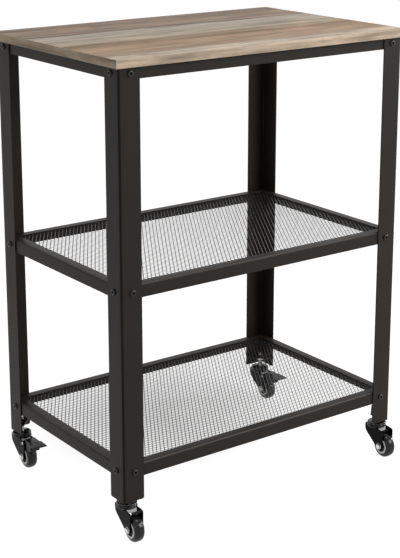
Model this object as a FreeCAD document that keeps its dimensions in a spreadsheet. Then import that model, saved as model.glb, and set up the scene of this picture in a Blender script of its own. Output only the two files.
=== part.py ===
import FreeCAD, Part
import math
import os

import Sketcher

# Serving cart: a wooden top and two mesh shelves on four angle legs, with four swivel casters.
# X runs along the long side, Y from the front to the back, Z up from the floor.
# The origin is on the floor, in the middle of the outline seen from above, wheels included.

SIZES = {
    # the whole cart
    "top_length": 610,
    "top_depth": 400,
    "total_height": 805,
    "leg_bottom_height": 66,
    # tabletop
    "top_thickness": 14,
    "top_edge_bevel": 0.8,
    # legs, a rounded angle with its corner outward
    "leg_overhang": 8,
    "leg_flange": 40,
    "leg_sheet": 2,
    "leg_bend": 3,
    "leg_foot_round": 3,
    # rails, an angle with its top flange inward
    "top_rail_wall": 20,
    "shelf_rail_wall": 23,
    "rail_flange": 18,
    "rail_sheet": 2,
    "rail_bend": 3.5,
    "bottom_shelf_rise": 63,
    "middle_shelf_share": 0.4683,
    # mesh panels, welded under the shelf rails' flanges
    "mesh_sheet": 1.2,
    "mesh_wall_gap": 2,
    "mesh_margin": 2,
    "mesh_strand": 7,
    "mesh_columns": 7,
    "mesh_rows": 5,
    # frame bolts and their clearance holes
    "bolt_from_corner": 22,
    "bolt_shank_radius": 3,
    "bolt_length": 12,
    "bolt_head_radius": 5.5,
    "bolt_rim": 1.2,
    "bolt_dome": 1.8,
    "bolt_dome_angle": 42,
    "bolt_clearance": 0.2,
    # screws that hold the tabletop from below
    "screw_offset": 150,
    "screw_head_radius": 4.5,
    "screw_head_height": 2,
    "screw_shank_radius": 2,
    "screw_bite": 9,
    # tapped socket plates in the leg feet, which take the caster stems
    "socket_rise": 16,
    "socket_plate": 3,
    "socket_side": 36,
    "stem_tip": 8,
    # caster stem with its upper race
    "caster_turn": -3,
    "swivel_inset": 15,
    "stem_radius": 4,
    "stem_collar_flats": 13,
    "stem_collar_height": 5,
    "cup_radius": 17.5,
    "cup_rim": 4,
    "race_gap": 0.3,
    "kingpin_radius": 4.5,
    "running_gap": 0.05,
    "kingpin_nut_flats": 12,
    "kingpin_nut_height": 2,
    "kingpin_play": 0.3,
    # caster fork
    "crown_radius": 18,
    "crown_underside": 54,
    "crown_sheet": 2.5,
    "race_height": 3,
    "fork_width": 26,
    "fork_sheet": 2,
    "fork_lead": 17.5,
    "fork_lead_drop": 14,
    "fork_lead_bend": 20,
    "crown_tail": 14,
    "fork_tail": 31.5,
    "fork_tail_drop": 13,
    "fork_corner": 4,
    "fork_toe_radius": 7,
    # wheel and axle
    "caster_trail": 24,
    "wheel_radius": 22.5,
    "tread_width": 13,
    "tyre_width": 19,
    "hub_radius": 15,
    "hub_width": 21,
    "axle_radius": 3,
    "axle_seat_gap": 0.05,
    "axle_nut_flats": 9,
    "axle_nut_height": 4,
    # brake pedal and its pin
    "pedal_pivot_back": 27,
    "pedal_pivot_height": 50.5,
    "pedal_pin_radius": 1.6,
    "pedal_boss_radius": 3.6,
    "pedal_width": 20,
    "pedal_tread_width": 25,
    "pedal_top_height": 59,
    "pedal_reach": 76,
    "pedal_sheet": 2.6,
    "pedal_heel_back": 55,
    "pedal_jaw_height": 40.5,
    "pedal_jaw_front": 45,
    "pedal_jaw_back": 51,
    "pedal_tread_front": 56,
    "pedal_lip": 3,
}

LEVEL_NAMES = ("top", "middle", "bottom")
HEX_SIDES = 6
HEAD_SIDES = 8

doc = FreeCAD.newDocument("serving_cart")
sheet = doc.addObject("Spreadsheet::Sheet", "dims")
for row, (alias, number) in enumerate(SIZES.items(), start=1):
    sheet.set("A%d" % row, alias)
    sheet.set("B%d" % row, str(number))
    sheet.setAlias("B%d" % row, alias)
doc.recompute()


class Length:
    """A size as a number and as the expression that gives it from the sheet."""

    def __init__(self, text, number):
        self.text = text
        self.number = float(number)

    def __add__(self, other):
        return Length("(%s + %s)" % (self.text, other.text), self.number + other.number)

    def __sub__(self, other):
        return Length("(%s - %s)" % (self.text, other.text), self.number - other.number)

    def __neg__(self):
        return Length("(0 - %s)" % self.text, -self.number)

    def __mul__(self, share):
        if isinstance(share, Length):
            return Length("(%s * %s)" % (self.text, share.text), self.number * share.number)
        return Length("(%s * %.9f)" % (self.text, share), self.number * share)

    def __truediv__(self, share):
        return Length("(%s / %g)" % (self.text, share), self.number / share)


def size(alias):
    return Length("dims.%s" % alias, SIZES[alias])


ZERO = Length("0", 0)

# Places worked out from the driving sizes

half_length = size("top_length") / 2
half_depth = size("top_depth") / 2
leg_x = half_length - size("leg_overhang")
leg_y = half_depth - size("leg_overhang")
rail_x = leg_x - size("leg_sheet")
rail_y = leg_y - size("leg_sheet")
swivel_x = leg_x - size("swivel_inset")
swivel_y = leg_y - size("swivel_inset")
underside = size("total_height") - size("top_thickness")
leg_length = underside - size("leg_bottom_height")
# the front wheels reach out past the top, so the cart stands this far back of the origin
setback = (size("caster_trail") + size("wheel_radius") - half_depth + swivel_y) / 2

bottom_shelf = size("leg_bottom_height") + size("bottom_shelf_rise")

LEVEL_HEIGHT = {
    "top": underside,
    "middle": bottom_shelf + (underside - bottom_shelf) * size("middle_shelf_share"),
    "bottom": bottom_shelf,
}
LEVEL_WALL = {
    "top": size("top_rail_wall"),
    "middle": size("shelf_rail_wall"),
    "bottom": size("shelf_rail_wall"),
}
BOLT_HEIGHT = {name: LEVEL_HEIGHT[name] - LEVEL_WALL[name] / 2 for name in LEVEL_NAMES}

# Each corner: its name, the side of X and of Y that it is on, and how far its leg is turned
CORNERS = (
    ("front_left", -1, -1, 0),
    ("front_right", 1, -1, 90),
    ("back_right", 1, 1, 180),
    ("back_left", -1, 1, 270),
)
BRAKED_CORNERS = ("back_left", "back_right")


# Shared ways of building

def place(item, x, y, z, turn_degrees=0, turn_cell=None):
    item.Placement = FreeCAD.Placement(
        FreeCAD.Vector(x.number, (y + setback).number, z.number),
        FreeCAD.Rotation(FreeCAD.Vector(0, 0, 1), turn_degrees),
    )
    item.setExpression("Placement.Base.x", x.text)
    item.setExpression("Placement.Base.y", (y + setback).text)
    item.setExpression("Placement.Base.z", z.text)
    if turn_cell:
        item.setExpression("Placement.Rotation.Angle", turn_cell.text)


def new_body(name):
    body = doc.addObject("PartDesign::Body", name)
    body.Label = name
    return body


def new_sketch(body, role, offset=None):
    plane = next(f for f in body.Origin.OriginFeatures if f.Role == role)
    sketch = body.newObject("Sketcher::SketchObject", "sketch")
    sketch.AttachmentSupport = [(plane, "")]
    sketch.MapMode = "FlatFace"
    if offset:
        sketch.setExpression("AttachmentOffset.Base.z", offset.text)
    return sketch


def tie_point(sketch, geometry, point, x, y):
    """Hold one point of the sketch at x, y by constraints bound to the sheet."""
    for axis, kind, length in ((-2, "DistanceX", x), (-1, "DistanceY", y)):
        if length.text == ZERO.text:
            sketch.addConstraint(Sketcher.Constraint("PointOnObject", geometry, point, axis))
        else:
            index = sketch.addConstraint(
                Sketcher.Constraint(kind, -1, 1, geometry, point, length.number)
            )
            sketch.setExpression("Constraints[%d]" % index, length.text)


def draw_polygon(sketch, corners):
    points = [FreeCAD.Vector(x.number, y.number, 0) for x, y in corners]
    first = len(sketch.Geometry)
    count = len(points)
    for i in range(count):
        sketch.addGeometry(Part.LineSegment(points[i], points[(i + 1) % count]), False)
    for i in range(count):
        following = first + (i + 1) % count
        sketch.addConstraint(Sketcher.Constraint("Coincident", first + i, 2, following, 1))
    for i, (x, y) in enumerate(corners):
        tie_point(sketch, first + i, 1, x, y)


def draw_circle(sketch, x, y, radius):
    centre = FreeCAD.Vector(x.number, y.number, 0)
    circle = sketch.addGeometry(Part.Circle(centre, FreeCAD.Vector(0, 0, 1), radius.number), False)
    tie_point(sketch, circle, 3, x, y)
    index = sketch.addConstraint(Sketcher.Constraint("Radius", circle, radius.number))
    sketch.setExpression("Constraints[%d]" % index, radius.text)


def box_corners(x_low, x_high, y_low, y_high):
    return [(x_low, y_low), (x_high, y_low), (x_high, y_high), (x_low, y_high)]


def regular_corners(sides, radius, x=ZERO, y=ZERO):
    turns = [2 * math.pi * i / sides for i in range(sides)]
    return [(x + radius * math.cos(t), y + radius * math.sin(t)) for t in turns]


def settle(body, feature):
    """Make the feature the body's last one, and stop if it could not be built."""
    body.Tip = feature
    doc.recompute()
    if "Invalid" in feature.State or "Error" in feature.State:
        raise RuntimeError("%s: its %s failed" % (body.Label, feature.Name))
    return feature


def pad(body, sketch, length, symmetric=False, backward=False, taper=None):
    feature = body.newObject("PartDesign::Pad", "pad")
    feature.Profile = sketch
    feature.SideType = "Symmetric" if symmetric else "One side"
    feature.Reversed = backward
    feature.Length = length.number
    feature.setExpression("Length", length.text)
    if taper:
        feature.TaperAngle = taper.number
        feature.setExpression("TaperAngle", taper.text)
    return settle(body, feature)


def pocket(body, sketch, depth=None, symmetric=False, backward=False):
    """Cut the sketch out of the body, through all of it unless a depth is given."""
    before = body.Shape.Volume
    feature = body.newObject("PartDesign::Pocket", "pocket")
    feature.Profile = sketch
    feature.SideType = "Symmetric" if symmetric else "One side"
    feature.Reversed = backward
    feature.Type = "Length" if depth else "ThroughAll"
    if depth:
        feature.Length = depth.number
        feature.setExpression("Length", depth.text)
    settle(body, feature)
    if body.Shape.Volume >= before:
        raise RuntimeError("%s: a pocket cuts nothing" % body.Label)
    return feature


def revolve(body, sketch, axis_name):
    feature = body.newObject("PartDesign::Revolution", "revolution")
    feature.Profile = sketch
    feature.ReferenceAxis = (sketch, [axis_name])
    return settle(body, feature)


def round_edges(body, radius, wanted):
    """Fillet the edges of the body for which wanted(edge) holds."""
    base = body.Tip
    names = ["Edge%d" % (i + 1) for i, edge in enumerate(base.Shape.Edges) if wanted(edge)]
    if not names:
        raise RuntimeError("%s: no edge to round" % body.Label)
    feature = body.newObject("PartDesign::Fillet", "fillet")
    feature.Base = (base, names)
    feature.Radius = radius.number
    feature.setExpression("Radius", radius.text)
    return settle(body, feature)


def runs_at(edge, along, first, second):
    """True for a straight edge along an axis that passes through the two other coordinates."""
    touch = 1e-4
    ends = [v.Point for v in edge.Vertexes]
    if len(ends) != 2:
        return False
    others = [i for i in range(3) if i != along]
    wanted = (first.number, second.number)
    return all(abs(end[i] - w) < touch for end in ends for i, w in zip(others, wanted))


X_AXIS, Y_AXIS, Z_AXIS = 0, 1, 2
parts = []


# Tabletop: one board with slightly broken edges

def build_tabletop():
    body = new_body("tabletop")
    outline = new_sketch(body, "XY_Plane")
    draw_polygon(outline, box_corners(-half_length, half_length, -half_depth, half_depth))
    pad(body, outline, size("top_thickness"))
    board = body.Tip
    bevel = body.newObject("PartDesign::Chamfer", "chamfer")
    bevel.Base = (board, ["Face%d" % top_face_index(board.Shape)])
    bevel.Size = size("top_edge_bevel").number
    bevel.setExpression("Size", size("top_edge_bevel").text)
    settle(body, bevel)
    holes = new_sketch(body, "XY_Plane")
    for x, y in screw_places():
        draw_polygon(holes, regular_corners(HEX_SIDES, size("screw_shank_radius"), x, y))
    pocket(body, holes, depth=size("screw_bite"), backward=True)
    place(body, ZERO, ZERO, underside)
    parts.append(body)


def top_face_index(shape):
    heights = [face.CenterOfMass.z for face in shape.Faces]
    return heights.index(max(heights)) + 1


def screw_places():
    """The tabletop screws, seen from above, from the middle of the top."""
    depth = rail_y - size("rail_flange") / 2
    return [(size("screw_offset") * i, depth * j) for i in (-1, 1) for j in (-1, 1)]


# Legs: a rounded angle section, with a bolt hole in each flange at each level

def build_leg(name, side_x, side_y, turn):
    body = new_body("leg_" + name)
    flange, sheet = size("leg_flange"), size("leg_sheet")
    section = new_sketch(body, "XY_Plane")
    draw_polygon(
        section,
        [(ZERO, ZERO), (flange, ZERO), (flange, sheet), (sheet, sheet), (sheet, flange), (ZERO, flange)],
    )
    pad(body, section, leg_length)
    round_edges(body, size("leg_bend"), lambda e: runs_at(e, Z_AXIS, ZERO, ZERO))
    round_edges(body, size("leg_foot_round"), lambda e: runs_at(e, Y_AXIS, flange, ZERO))
    round_edges(body, size("leg_foot_round"), lambda e: runs_at(e, X_AXIS, flange, ZERO))
    hole = size("bolt_shank_radius") + size("bolt_clearance")
    for role, backward in (("XZ_Plane", True), ("YZ_Plane", False)):
        holes = new_sketch(body, role)
        for level in LEVEL_NAMES:
            height = BOLT_HEIGHT[level] - size("leg_bottom_height")
            draw_polygon(holes, regular_corners(HEX_SIDES, hole, size("bolt_from_corner"), height))
        pocket(body, holes, depth=sheet + sheet, symmetric=True)
    place(body, leg_x * side_x, leg_y * side_y, size("leg_bottom_height"), turn)
    parts.append(body)


# Rails: an angle section mitred at 45 degrees at both ends

def build_rail(level, side):
    body = new_body("%s_rail_%s" % (level, side))
    wall, flange, sheet = LEVEL_WALL[level], size("rail_flange"), size("rail_sheet")
    along_x = side in ("front", "back")
    half = rail_x if along_x else rail_y
    section = new_sketch(body, "YZ_Plane")
    draw_polygon(
        section,
        [(ZERO, ZERO), (ZERO, -wall), (sheet, -wall), (sheet, -sheet), (flange, -sheet), (flange, ZERO)],
    )
    pad(body, section, half + half, symmetric=True)
    round_edges(body, size("rail_bend"), lambda e: runs_at(e, X_AXIS, ZERO, ZERO))
    round_edges(body, size("rail_bend") - sheet, lambda e: runs_at(e, X_AXIS, sheet, -sheet))
    mitres = new_sketch(body, "XY_Plane")
    draw_polygon(mitres, [(half, ZERO), (half, flange), (half - flange, flange)])
    draw_polygon(mitres, [(-half, ZERO), (flange - half, flange), (-half, flange)])
    pocket(body, mitres, depth=wall + wall + sheet, symmetric=True)
    holes = new_sketch(body, "XZ_Plane")
    from_end = size("bolt_from_corner") - size("leg_sheet")
    for x in (half - from_end, from_end - half):
        hole = size("bolt_shank_radius") + size("bolt_clearance")
        draw_polygon(holes, regular_corners(HEX_SIDES, hole, x, -wall / 2))
    pocket(body, holes, depth=sheet + sheet + sheet, symmetric=True)
    if level == "top" and along_x:
        screws = new_sketch(body, "XY_Plane")
        for i in (-1, 1):
            hole = size("screw_shank_radius") + size("bolt_clearance")
            draw_polygon(screws, regular_corners(HEX_SIDES, hole, size("screw_offset") * i, flange / 2))
        pocket(body, screws, depth=sheet + sheet + sheet, symmetric=True)
    x, y, turn = {
        "front": (ZERO, -rail_y, 0),
        "right": (rail_x, ZERO, 90),
        "back": (ZERO, rail_y, 180),
        "left": (-rail_x, ZERO, 270),
    }[side]
    place(body, x, y, LEVEL_HEIGHT[level], turn)
    parts.append(body)


# Mesh panels: one flat sheet each, opened by staggered diamonds

def repeat_along(grid, which, cell, pitch, fewer):
    """Copies of a gap along one direction: all of the cell's count but a few, or one where None."""
    if fewer is None:
        setattr(grid, "Occurrences" + which, 1)
    else:
        grid.setExpression("Occurrences" + which, "%s - %d" % (cell, fewer))
        grid.setExpression("Length" + which, "%s * (%s - %d)" % (pitch.text, cell, fewer + 1))


def build_mesh(level):
    body = new_body("%s_mesh" % level)
    edge = size("rail_sheet") + size("mesh_wall_gap")
    half_x, half_y = rail_x - edge, rail_y - edge
    outline = new_sketch(body, "XY_Plane")
    draw_polygon(outline, box_corners(-half_x, half_x, -half_y, half_y))
    pad(body, outline, size("mesh_sheet"))
    rim = size("rail_flange") + size("mesh_margin")
    field_x, field_y = rail_x - rim, rail_y - rim
    columns, rows = SIZES["mesh_columns"], SIZES["mesh_rows"]
    pitch_x = Length("(%s * 2 / dims.mesh_columns)" % field_x.text, field_x.number * 2 / columns)
    pitch_y = Length("(%s * 2 / dims.mesh_rows)" % field_y.text, field_y.number * 2 / rows)
    reach_x = pitch_x / 2 - size("mesh_strand")
    reach_y = pitch_y / 2 - size("mesh_strand")
    centre_x, centre_y = pitch_x / 2 - field_x, pitch_y / 2 - field_y
    edge_x, edge_y = size("mesh_strand") / 2 - field_x, size("mesh_strand") / 2 - field_y
    low_x, low_y = pitch_x - field_x, pitch_y - field_y
    # whole diamonds, the staggered diamonds between them, and the halves along the four edges
    gaps = (
        (0, 0, [(centre_x - reach_x, centre_y), (centre_x, centre_y - reach_y),
                (centre_x + reach_x, centre_y), (centre_x, centre_y + reach_y)]),
        (1, 1, [(low_x - reach_x, low_y), (low_x, low_y - reach_y),
                (low_x + reach_x, low_y), (low_x, low_y + reach_y)]),
        (None, 1, [(edge_x, low_y - reach_y), (reach_x - field_x, low_y), (edge_x, low_y + reach_y)]),
        (None, 1, [(-edge_x, low_y - reach_y), (field_x - reach_x, low_y), (-edge_x, low_y + reach_y)]),
        (1, None, [(low_x - reach_x, edge_y), (low_x, reach_y - field_y), (low_x + reach_x, edge_y)]),
        (1, None, [(low_x - reach_x, -edge_y), (low_x, field_y - reach_y), (low_x + reach_x, -edge_y)]),
    )
    for fewer_columns, fewer_rows, corners in gaps:
        gap = new_sketch(body, "XY_Plane")
        draw_polygon(gap, corners)
        cut = pocket(body, gap, backward=True)
        grid = body.newObject("PartDesign::LinearPattern", "grid")
        grid.Originals = [cut]
        grid.Direction = (gap, ["H_Axis"])
        grid.Direction2 = (gap, ["V_Axis"])
        repeat_along(grid, "", "dims.mesh_columns", pitch_x, fewer_columns)
        repeat_along(grid, "2", "dims.mesh_rows", pitch_y, fewer_rows)
        settle(body, grid)
    place(body, ZERO, ZERO, LEVEL_HEIGHT[level] - size("rail_sheet") - size("mesh_sheet"))
    parts.append(body)


# Fasteners: one master of each, and copies of it at their places as separate solids

def build_fastener(name, shank_radius, shank_length, head_radius, rim, dome=None):
    """A fastener along Z: the seat of its head at zero, its shank below."""
    body = new_body(name)
    shank = new_sketch(body, "XY_Plane")
    draw_polygon(shank, regular_corners(HEX_SIDES, shank_radius))
    pad(body, shank, shank_length, backward=True)
    head = new_sketch(body, "XY_Plane")
    draw_polygon(head, regular_corners(HEAD_SIDES, head_radius))
    pad(body, head, rim)
    if dome:
        crown = new_sketch(body, "XY_Plane", offset=rim)
        draw_polygon(crown, regular_corners(HEAD_SIDES, head_radius))
        pad(body, crown, dome, taper=-size("bolt_dome_angle"))
    return body


def group_copies(name, master, placements):
    """Copies of the master's solid, one for each placement, as one sub-part."""
    group = doc.addObject("Part::Feature", name)
    group.Label = name
    group.Shape = Part.makeCompound(
        [master.Shape.transformed(placement.toMatrix(), copy=True) for placement in placements]
    )
    parts.append(group)


def bolt_placements(level):
    """The two bolts at each corner, one through each flange of the leg."""
    inward = size("bolt_from_corner")
    places = []
    for name, side_x, side_y, turn in CORNERS:
        for through_front in (True, False):
            x = leg_x - inward if through_front else leg_x
            y = leg_y if through_front else leg_y - inward
            face_turn = (0 if side_y < 0 else 180) if through_front else (-90 if side_x < 0 else 90)
            places.append(
                FreeCAD.Placement(
                    FreeCAD.Vector(
                        (x * side_x).number,
                        (y * side_y + setback).number,
                        BOLT_HEIGHT[level].number,
                    ),
                    FreeCAD.Rotation(FreeCAD.Vector(0, 0, 1), face_turn)
                    * FreeCAD.Rotation(FreeCAD.Vector(1, 0, 0), 90),
                )
            )
    return places


def build_fasteners():
    bolt = build_fastener(
        "frame_bolt_master",
        size("bolt_shank_radius"),
        size("bolt_length"),
        size("bolt_head_radius"),
        size("bolt_rim"),
        size("bolt_dome"),
    )
    for level in LEVEL_NAMES:
        group_copies("%s_bolts" % level, bolt, bolt_placements(level))
    screw = build_fastener(
        "screw_master",
        size("screw_shank_radius"),
        size("screw_bite") + size("rail_sheet"),
        size("screw_head_radius"),
        size("screw_head_height"),
    )
    upside_down = FreeCAD.Rotation(FreeCAD.Vector(1, 0, 0), 180)
    seat = (underside - size("rail_sheet")).number
    places = [
        FreeCAD.Placement(FreeCAD.Vector(x.number, (y + setback).number, seat), upside_down)
        for x, y in screw_places()
    ]
    group_copies("tabletop_screws", screw, places)


# Leg feet: the tapped socket plates welded inside the angle

socket_bottom = size("leg_bottom_height") + size("socket_rise")


def corner_placements(height):
    return [
        FreeCAD.Placement(
            FreeCAD.Vector(
                (swivel_x * side_x).number,
                (swivel_y * side_y + setback).number,
                height.number,
            ),
            FreeCAD.Rotation(FreeCAD.Vector(0, 0, 1), turn),
        )
        for name, side_x, side_y, turn in CORNERS
    ]


def build_feet():
    plate = new_body("socket_plate_master")
    to_leg = size("leg_sheet") - size("swivel_inset")
    reach = to_leg + size("socket_side")
    outline = new_sketch(plate, "XY_Plane")
    draw_polygon(outline, box_corners(to_leg, reach, to_leg, reach))
    draw_polygon(outline, regular_corners(HEX_SIDES, hex_around(size("stem_radius"))))
    pad(plate, outline, size("socket_plate"))
    group_copies("socket_plates", plate, corner_placements(socket_bottom))


def hex_around(radius):
    """The corner radius of the hexagon whose flats touch a circle of the given radius."""
    return radius / math.cos(math.pi / HEX_SIDES)


# Casters, each built about its own swivel axis, with the floor at zero and the wheel toward -Y

def place_on_swivel(body, side_x, side_y):
    place(body, swivel_x * side_x, swivel_y * side_y, ZERO, 0, size("caster_turn"))
    parts.append(body)


crown_top = size("crown_underside") + size("crown_sheet")
race_top = crown_top + size("race_height")
cup_bottom = race_top + size("race_gap")
cup_top = cup_bottom + size("cup_rim")
stem_end = socket_bottom + size("socket_plate") + size("stem_tip")


def build_stem(name, side_x, side_y):
    """The threaded stem, the upper race cup and the kingpin that the fork turns on."""
    body = new_body("caster_stem_" + name)
    half = new_sketch(body, "XZ_Plane")
    pin, stem = size("kingpin_radius"), size("stem_radius")
    pin_end = size("crown_underside") - size("kingpin_play")
    draw_polygon(
        half,
        [
            (ZERO, pin_end),
            (pin, pin_end),
            (pin, cup_bottom),
            (size("cup_radius"), cup_bottom),
            (size("cup_radius"), cup_top),
            (stem, cup_top),
            (stem, stem_end),
            (ZERO, stem_end),
        ],
    )
    revolve(body, half, "V_Axis")
    for top, flats, height in (
        (socket_bottom, "stem_collar_flats", "stem_collar_height"),
        (pin_end, "kingpin_nut_flats", "kingpin_nut_height"),
    ):
        collar = new_sketch(body, "XY_Plane", offset=top)
        draw_polygon(collar, regular_corners(HEX_SIDES, hex_around(size(flats) / 2)))
        pad(body, collar, size(height), backward=True)
    place_on_swivel(body, side_x, side_y)


def build_fork(name, side_x, side_y):
    """The pressed fork: a round crown with its race, and two cheeks that sweep back to the axle."""
    body = new_body("caster_fork_" + name)
    lead, tail, trail = size("fork_lead"), size("fork_tail"), size("caster_trail")
    toe, axle_height = size("fork_toe_radius"), size("wheel_radius")
    profile = new_sketch(body, "YZ_Plane")
    draw_polygon(
        profile,
        [
            (lead, crown_top),
            (lead, size("crown_underside") - size("fork_lead_drop")),
            (toe - trail, axle_height - toe),
            (-(trail + toe), axle_height - toe),
            (-(trail + toe), axle_height + toe),
            (-tail, size("crown_underside") - size("fork_tail_drop")),
            (-tail, crown_top),
        ],
    )
    pad(body, profile, size("fork_width"), symmetric=True)
    bend_height = size("crown_underside") - size("fork_lead_drop")
    round_edges(body, size("fork_lead_bend"), lambda e: runs_at(e, X_AXIS, lead, bend_height))
    for y, z in (
        (-(trail + toe), axle_height - toe),
        (toe - trail, axle_height - toe),
    ):
        round_edges(body, toe - size("fork_sheet"), lambda e: runs_at(e, X_AXIS, y, z))
    round_edges(body, size("fork_corner"), lambda e: runs_at(e, X_AXIS, -tail, crown_top))
    inner = size("fork_width") / 2 - size("fork_sheet")
    wheel_space = new_sketch(body, "XZ_Plane")
    draw_polygon(wheel_space, box_corners(-inner, inner, ZERO, size("crown_underside")))
    pocket(body, wheel_space, depth=size("fork_tail") * 4, symmetric=True)
    behind_crown = new_sketch(body, "XY_Plane")
    draw_polygon(behind_crown, box_corners(-inner, inner, -(tail + tail), -size("crown_tail")))
    pocket(body, behind_crown, backward=True)
    crown = new_sketch(body, "XY_Plane", offset=size("crown_underside"))
    draw_circle(crown, ZERO, ZERO, size("crown_radius"))
    pad(body, crown, size("crown_sheet") + size("race_height"))
    kingpin = new_sketch(body, "XY_Plane")
    draw_circle(kingpin, ZERO, ZERO, size("kingpin_radius") + size("running_gap"))
    pocket(body, kingpin, backward=True)
    holes = new_sketch(body, "YZ_Plane")
    seat = hex_around(size("axle_radius") + size("axle_seat_gap"))
    draw_polygon(holes, regular_corners(HEX_SIDES, seat, -trail, axle_height))
    if name in BRAKED_CORNERS:
        seat = hex_around(size("pedal_pin_radius") + size("axle_seat_gap"))
        pivot_y, pivot_z = -size("pedal_pivot_back"), size("pedal_pivot_height")
        draw_polygon(holes, regular_corners(HEX_SIDES, seat, pivot_y, pivot_z))
    pocket(body, holes, depth=size("fork_width") * 2, symmetric=True)
    place_on_swivel(body, side_x, side_y)


def draw_ring_section(sketch, inner, outer, inner_width, outer_width):
    """Half a ring's section about the X axis: straight at the bore and the rim, coned between."""
    draw_polygon(
        sketch,
        [
            (-inner_width / 2, inner),
            (inner_width / 2, inner),
            (outer_width / 2, outer),
            (-outer_width / 2, outer),
        ],
    )


def build_wheel(name, side_x, side_y):
    for node, inner, outer, inner_width, outer_width in (
        ("wheel_tyre_", size("hub_radius"), size("wheel_radius"), size("tyre_width"), size("tread_width")),
        (
            "wheel_hub_",
            size("axle_radius") + size("running_gap"),
            size("hub_radius"),
            size("hub_width"),
            size("hub_width"),
        ),
    ):
        body = new_body(node + name)
        section = new_sketch(body, "XY_Plane")
        draw_ring_section(section, inner, outer, inner_width, outer_width)
        revolve(body, section, "H_Axis")
        stand_on_axle(body, side_x, side_y)


def stand_on_axle(body, side_x, side_y):
    """Place a body that is built about the X axis on the caster's axle."""
    turn = math.radians(SIZES["caster_turn"])
    trail, angle = size("caster_trail"), size("caster_turn").text
    shift_x = Length("(%s * sin(%s * 1 deg))" % (trail.text, angle), trail.number * math.sin(turn))
    shift_y = Length("(%s * cos(%s * 1 deg))" % (trail.text, angle), trail.number * math.cos(turn))
    x = swivel_x * side_x + shift_x
    y = swivel_y * side_y - shift_y
    place(body, x, y, size("wheel_radius"), 0, size("caster_turn"))
    parts.append(body)


def build_axle(name, side_x, side_y):
    """The axle bolt across the fork, its hex head on one cheek and its nut on the other."""
    body = new_body("axle_" + name)
    shank = new_sketch(body, "YZ_Plane")
    draw_circle(shank, ZERO, ZERO, size("axle_radius"))
    pad(body, shank, size("fork_width"), symmetric=True)
    for side, backward in ((1, False), (-1, True)):
        end = new_sketch(body, "YZ_Plane", offset=size("fork_width") / 2 * side)
        draw_polygon(end, regular_corners(HEX_SIDES, hex_around(size("axle_nut_flats") / 2)))
        pad(body, end, size("axle_nut_height"), backward=backward)
    stand_on_axle(body, side_x, side_y)


# Brakes on the two back casters: a pedal on a pin, with a jaw that comes down on the tyre

def build_pedal(name, side_x, side_y):
    body = new_body("brake_pedal_" + name)
    back, height = size("pedal_pivot_back"), size("pedal_pivot_height")
    boss, top, sheet = size("pedal_boss_radius"), size("pedal_top_height"), size("pedal_sheet")
    arm = new_sketch(body, "YZ_Plane")
    draw_polygon(
        arm,
        [
            (boss - back, height - boss),
            (boss - back, height + boss),
            (-(back + boss), top),
            (-size("pedal_heel_back"), top),
            (-size("pedal_heel_back"), top - sheet - sheet),
            (-size("pedal_jaw_back"), size("pedal_jaw_height")),
            (-size("pedal_jaw_front"), size("pedal_jaw_height")),
            (-(back + boss), height - boss),
        ],
    )
    pad(body, arm, size("pedal_width"), symmetric=True)
    for z in (height - boss, height + boss):
        round_edges(body, boss - sheet / 2, lambda e: runs_at(e, X_AXIS, boss - back, z))
    tread = new_sketch(body, "YZ_Plane")
    draw_polygon(
        tread,
        [
            (-size("pedal_tread_front"), top),
            (-size("pedal_tread_front") + size("pedal_lip"), top),
            (-size("pedal_tread_front") + size("pedal_lip"), top - sheet - size("pedal_lip")),
            (-size("pedal_tread_front"), top - sheet - size("pedal_lip")),
            (-size("pedal_reach"), top - sheet),
            (-size("pedal_reach"), top),
        ],
    )
    pad(body, tread, size("pedal_tread_width"), symmetric=True)
    pin_hole = new_sketch(body, "YZ_Plane")
    draw_circle(pin_hole, -back, height, size("pedal_pin_radius") + size("running_gap"))
    pocket(body, pin_hole, depth=size("fork_width") * 2, symmetric=True)
    place_on_swivel(body, side_x, side_y)

    pin = new_body("brake_pin_" + name)
    section = new_sketch(pin, "YZ_Plane")
    draw_circle(section, -back, height, size("pedal_pin_radius"))
    pad(pin, section, size("fork_width"), symmetric=True)
    place_on_swivel(pin, side_x, side_y)


build_tabletop()
for corner, x_side, y_side, corner_turn in CORNERS:
    build_leg(corner, x_side, y_side, corner_turn)
for level_name in LEVEL_NAMES:
    for rail_side in ("front", "right", "back", "left"):
        build_rail(level_name, rail_side)
for level_name in ("middle", "bottom"):
    build_mesh(level_name)
build_fasteners()
build_feet()
for corner, x_side, y_side, corner_turn in CORNERS:
    build_stem(corner, x_side, y_side)
    build_fork(corner, x_side, y_side)
    build_axle(corner, x_side, y_side)
    build_wheel(corner, x_side, y_side)
for corner, x_side, y_side, corner_turn in CORNERS:
    if corner in BRAKED_CORNERS:
        build_pedal(corner, x_side, y_side)

doc.recompute()
for item in doc.Objects:
    if "Invalid" in item.State or "Error" in item.State:
        raise RuntimeError("%s failed: %s" % (item.Name, item.State))
os.makedirs("parts", exist_ok=True)
for item in parts:
    if item.Shape.isNull() or not item.Shape.isValid():
        raise RuntimeError("%s has no valid shape" % item.Label)
for item in parts:
    item.Shape.exportStep(os.path.join("parts", item.Label + ".step"))
print("sub-parts:", len(parts))
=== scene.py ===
import logging
import math
from dataclasses import dataclass, field
from enum import Enum
from typing import Callable, Iterable, Optional, Sequence, Union

import bmesh
import bpy
from mathutils import Matrix, Vector


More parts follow.
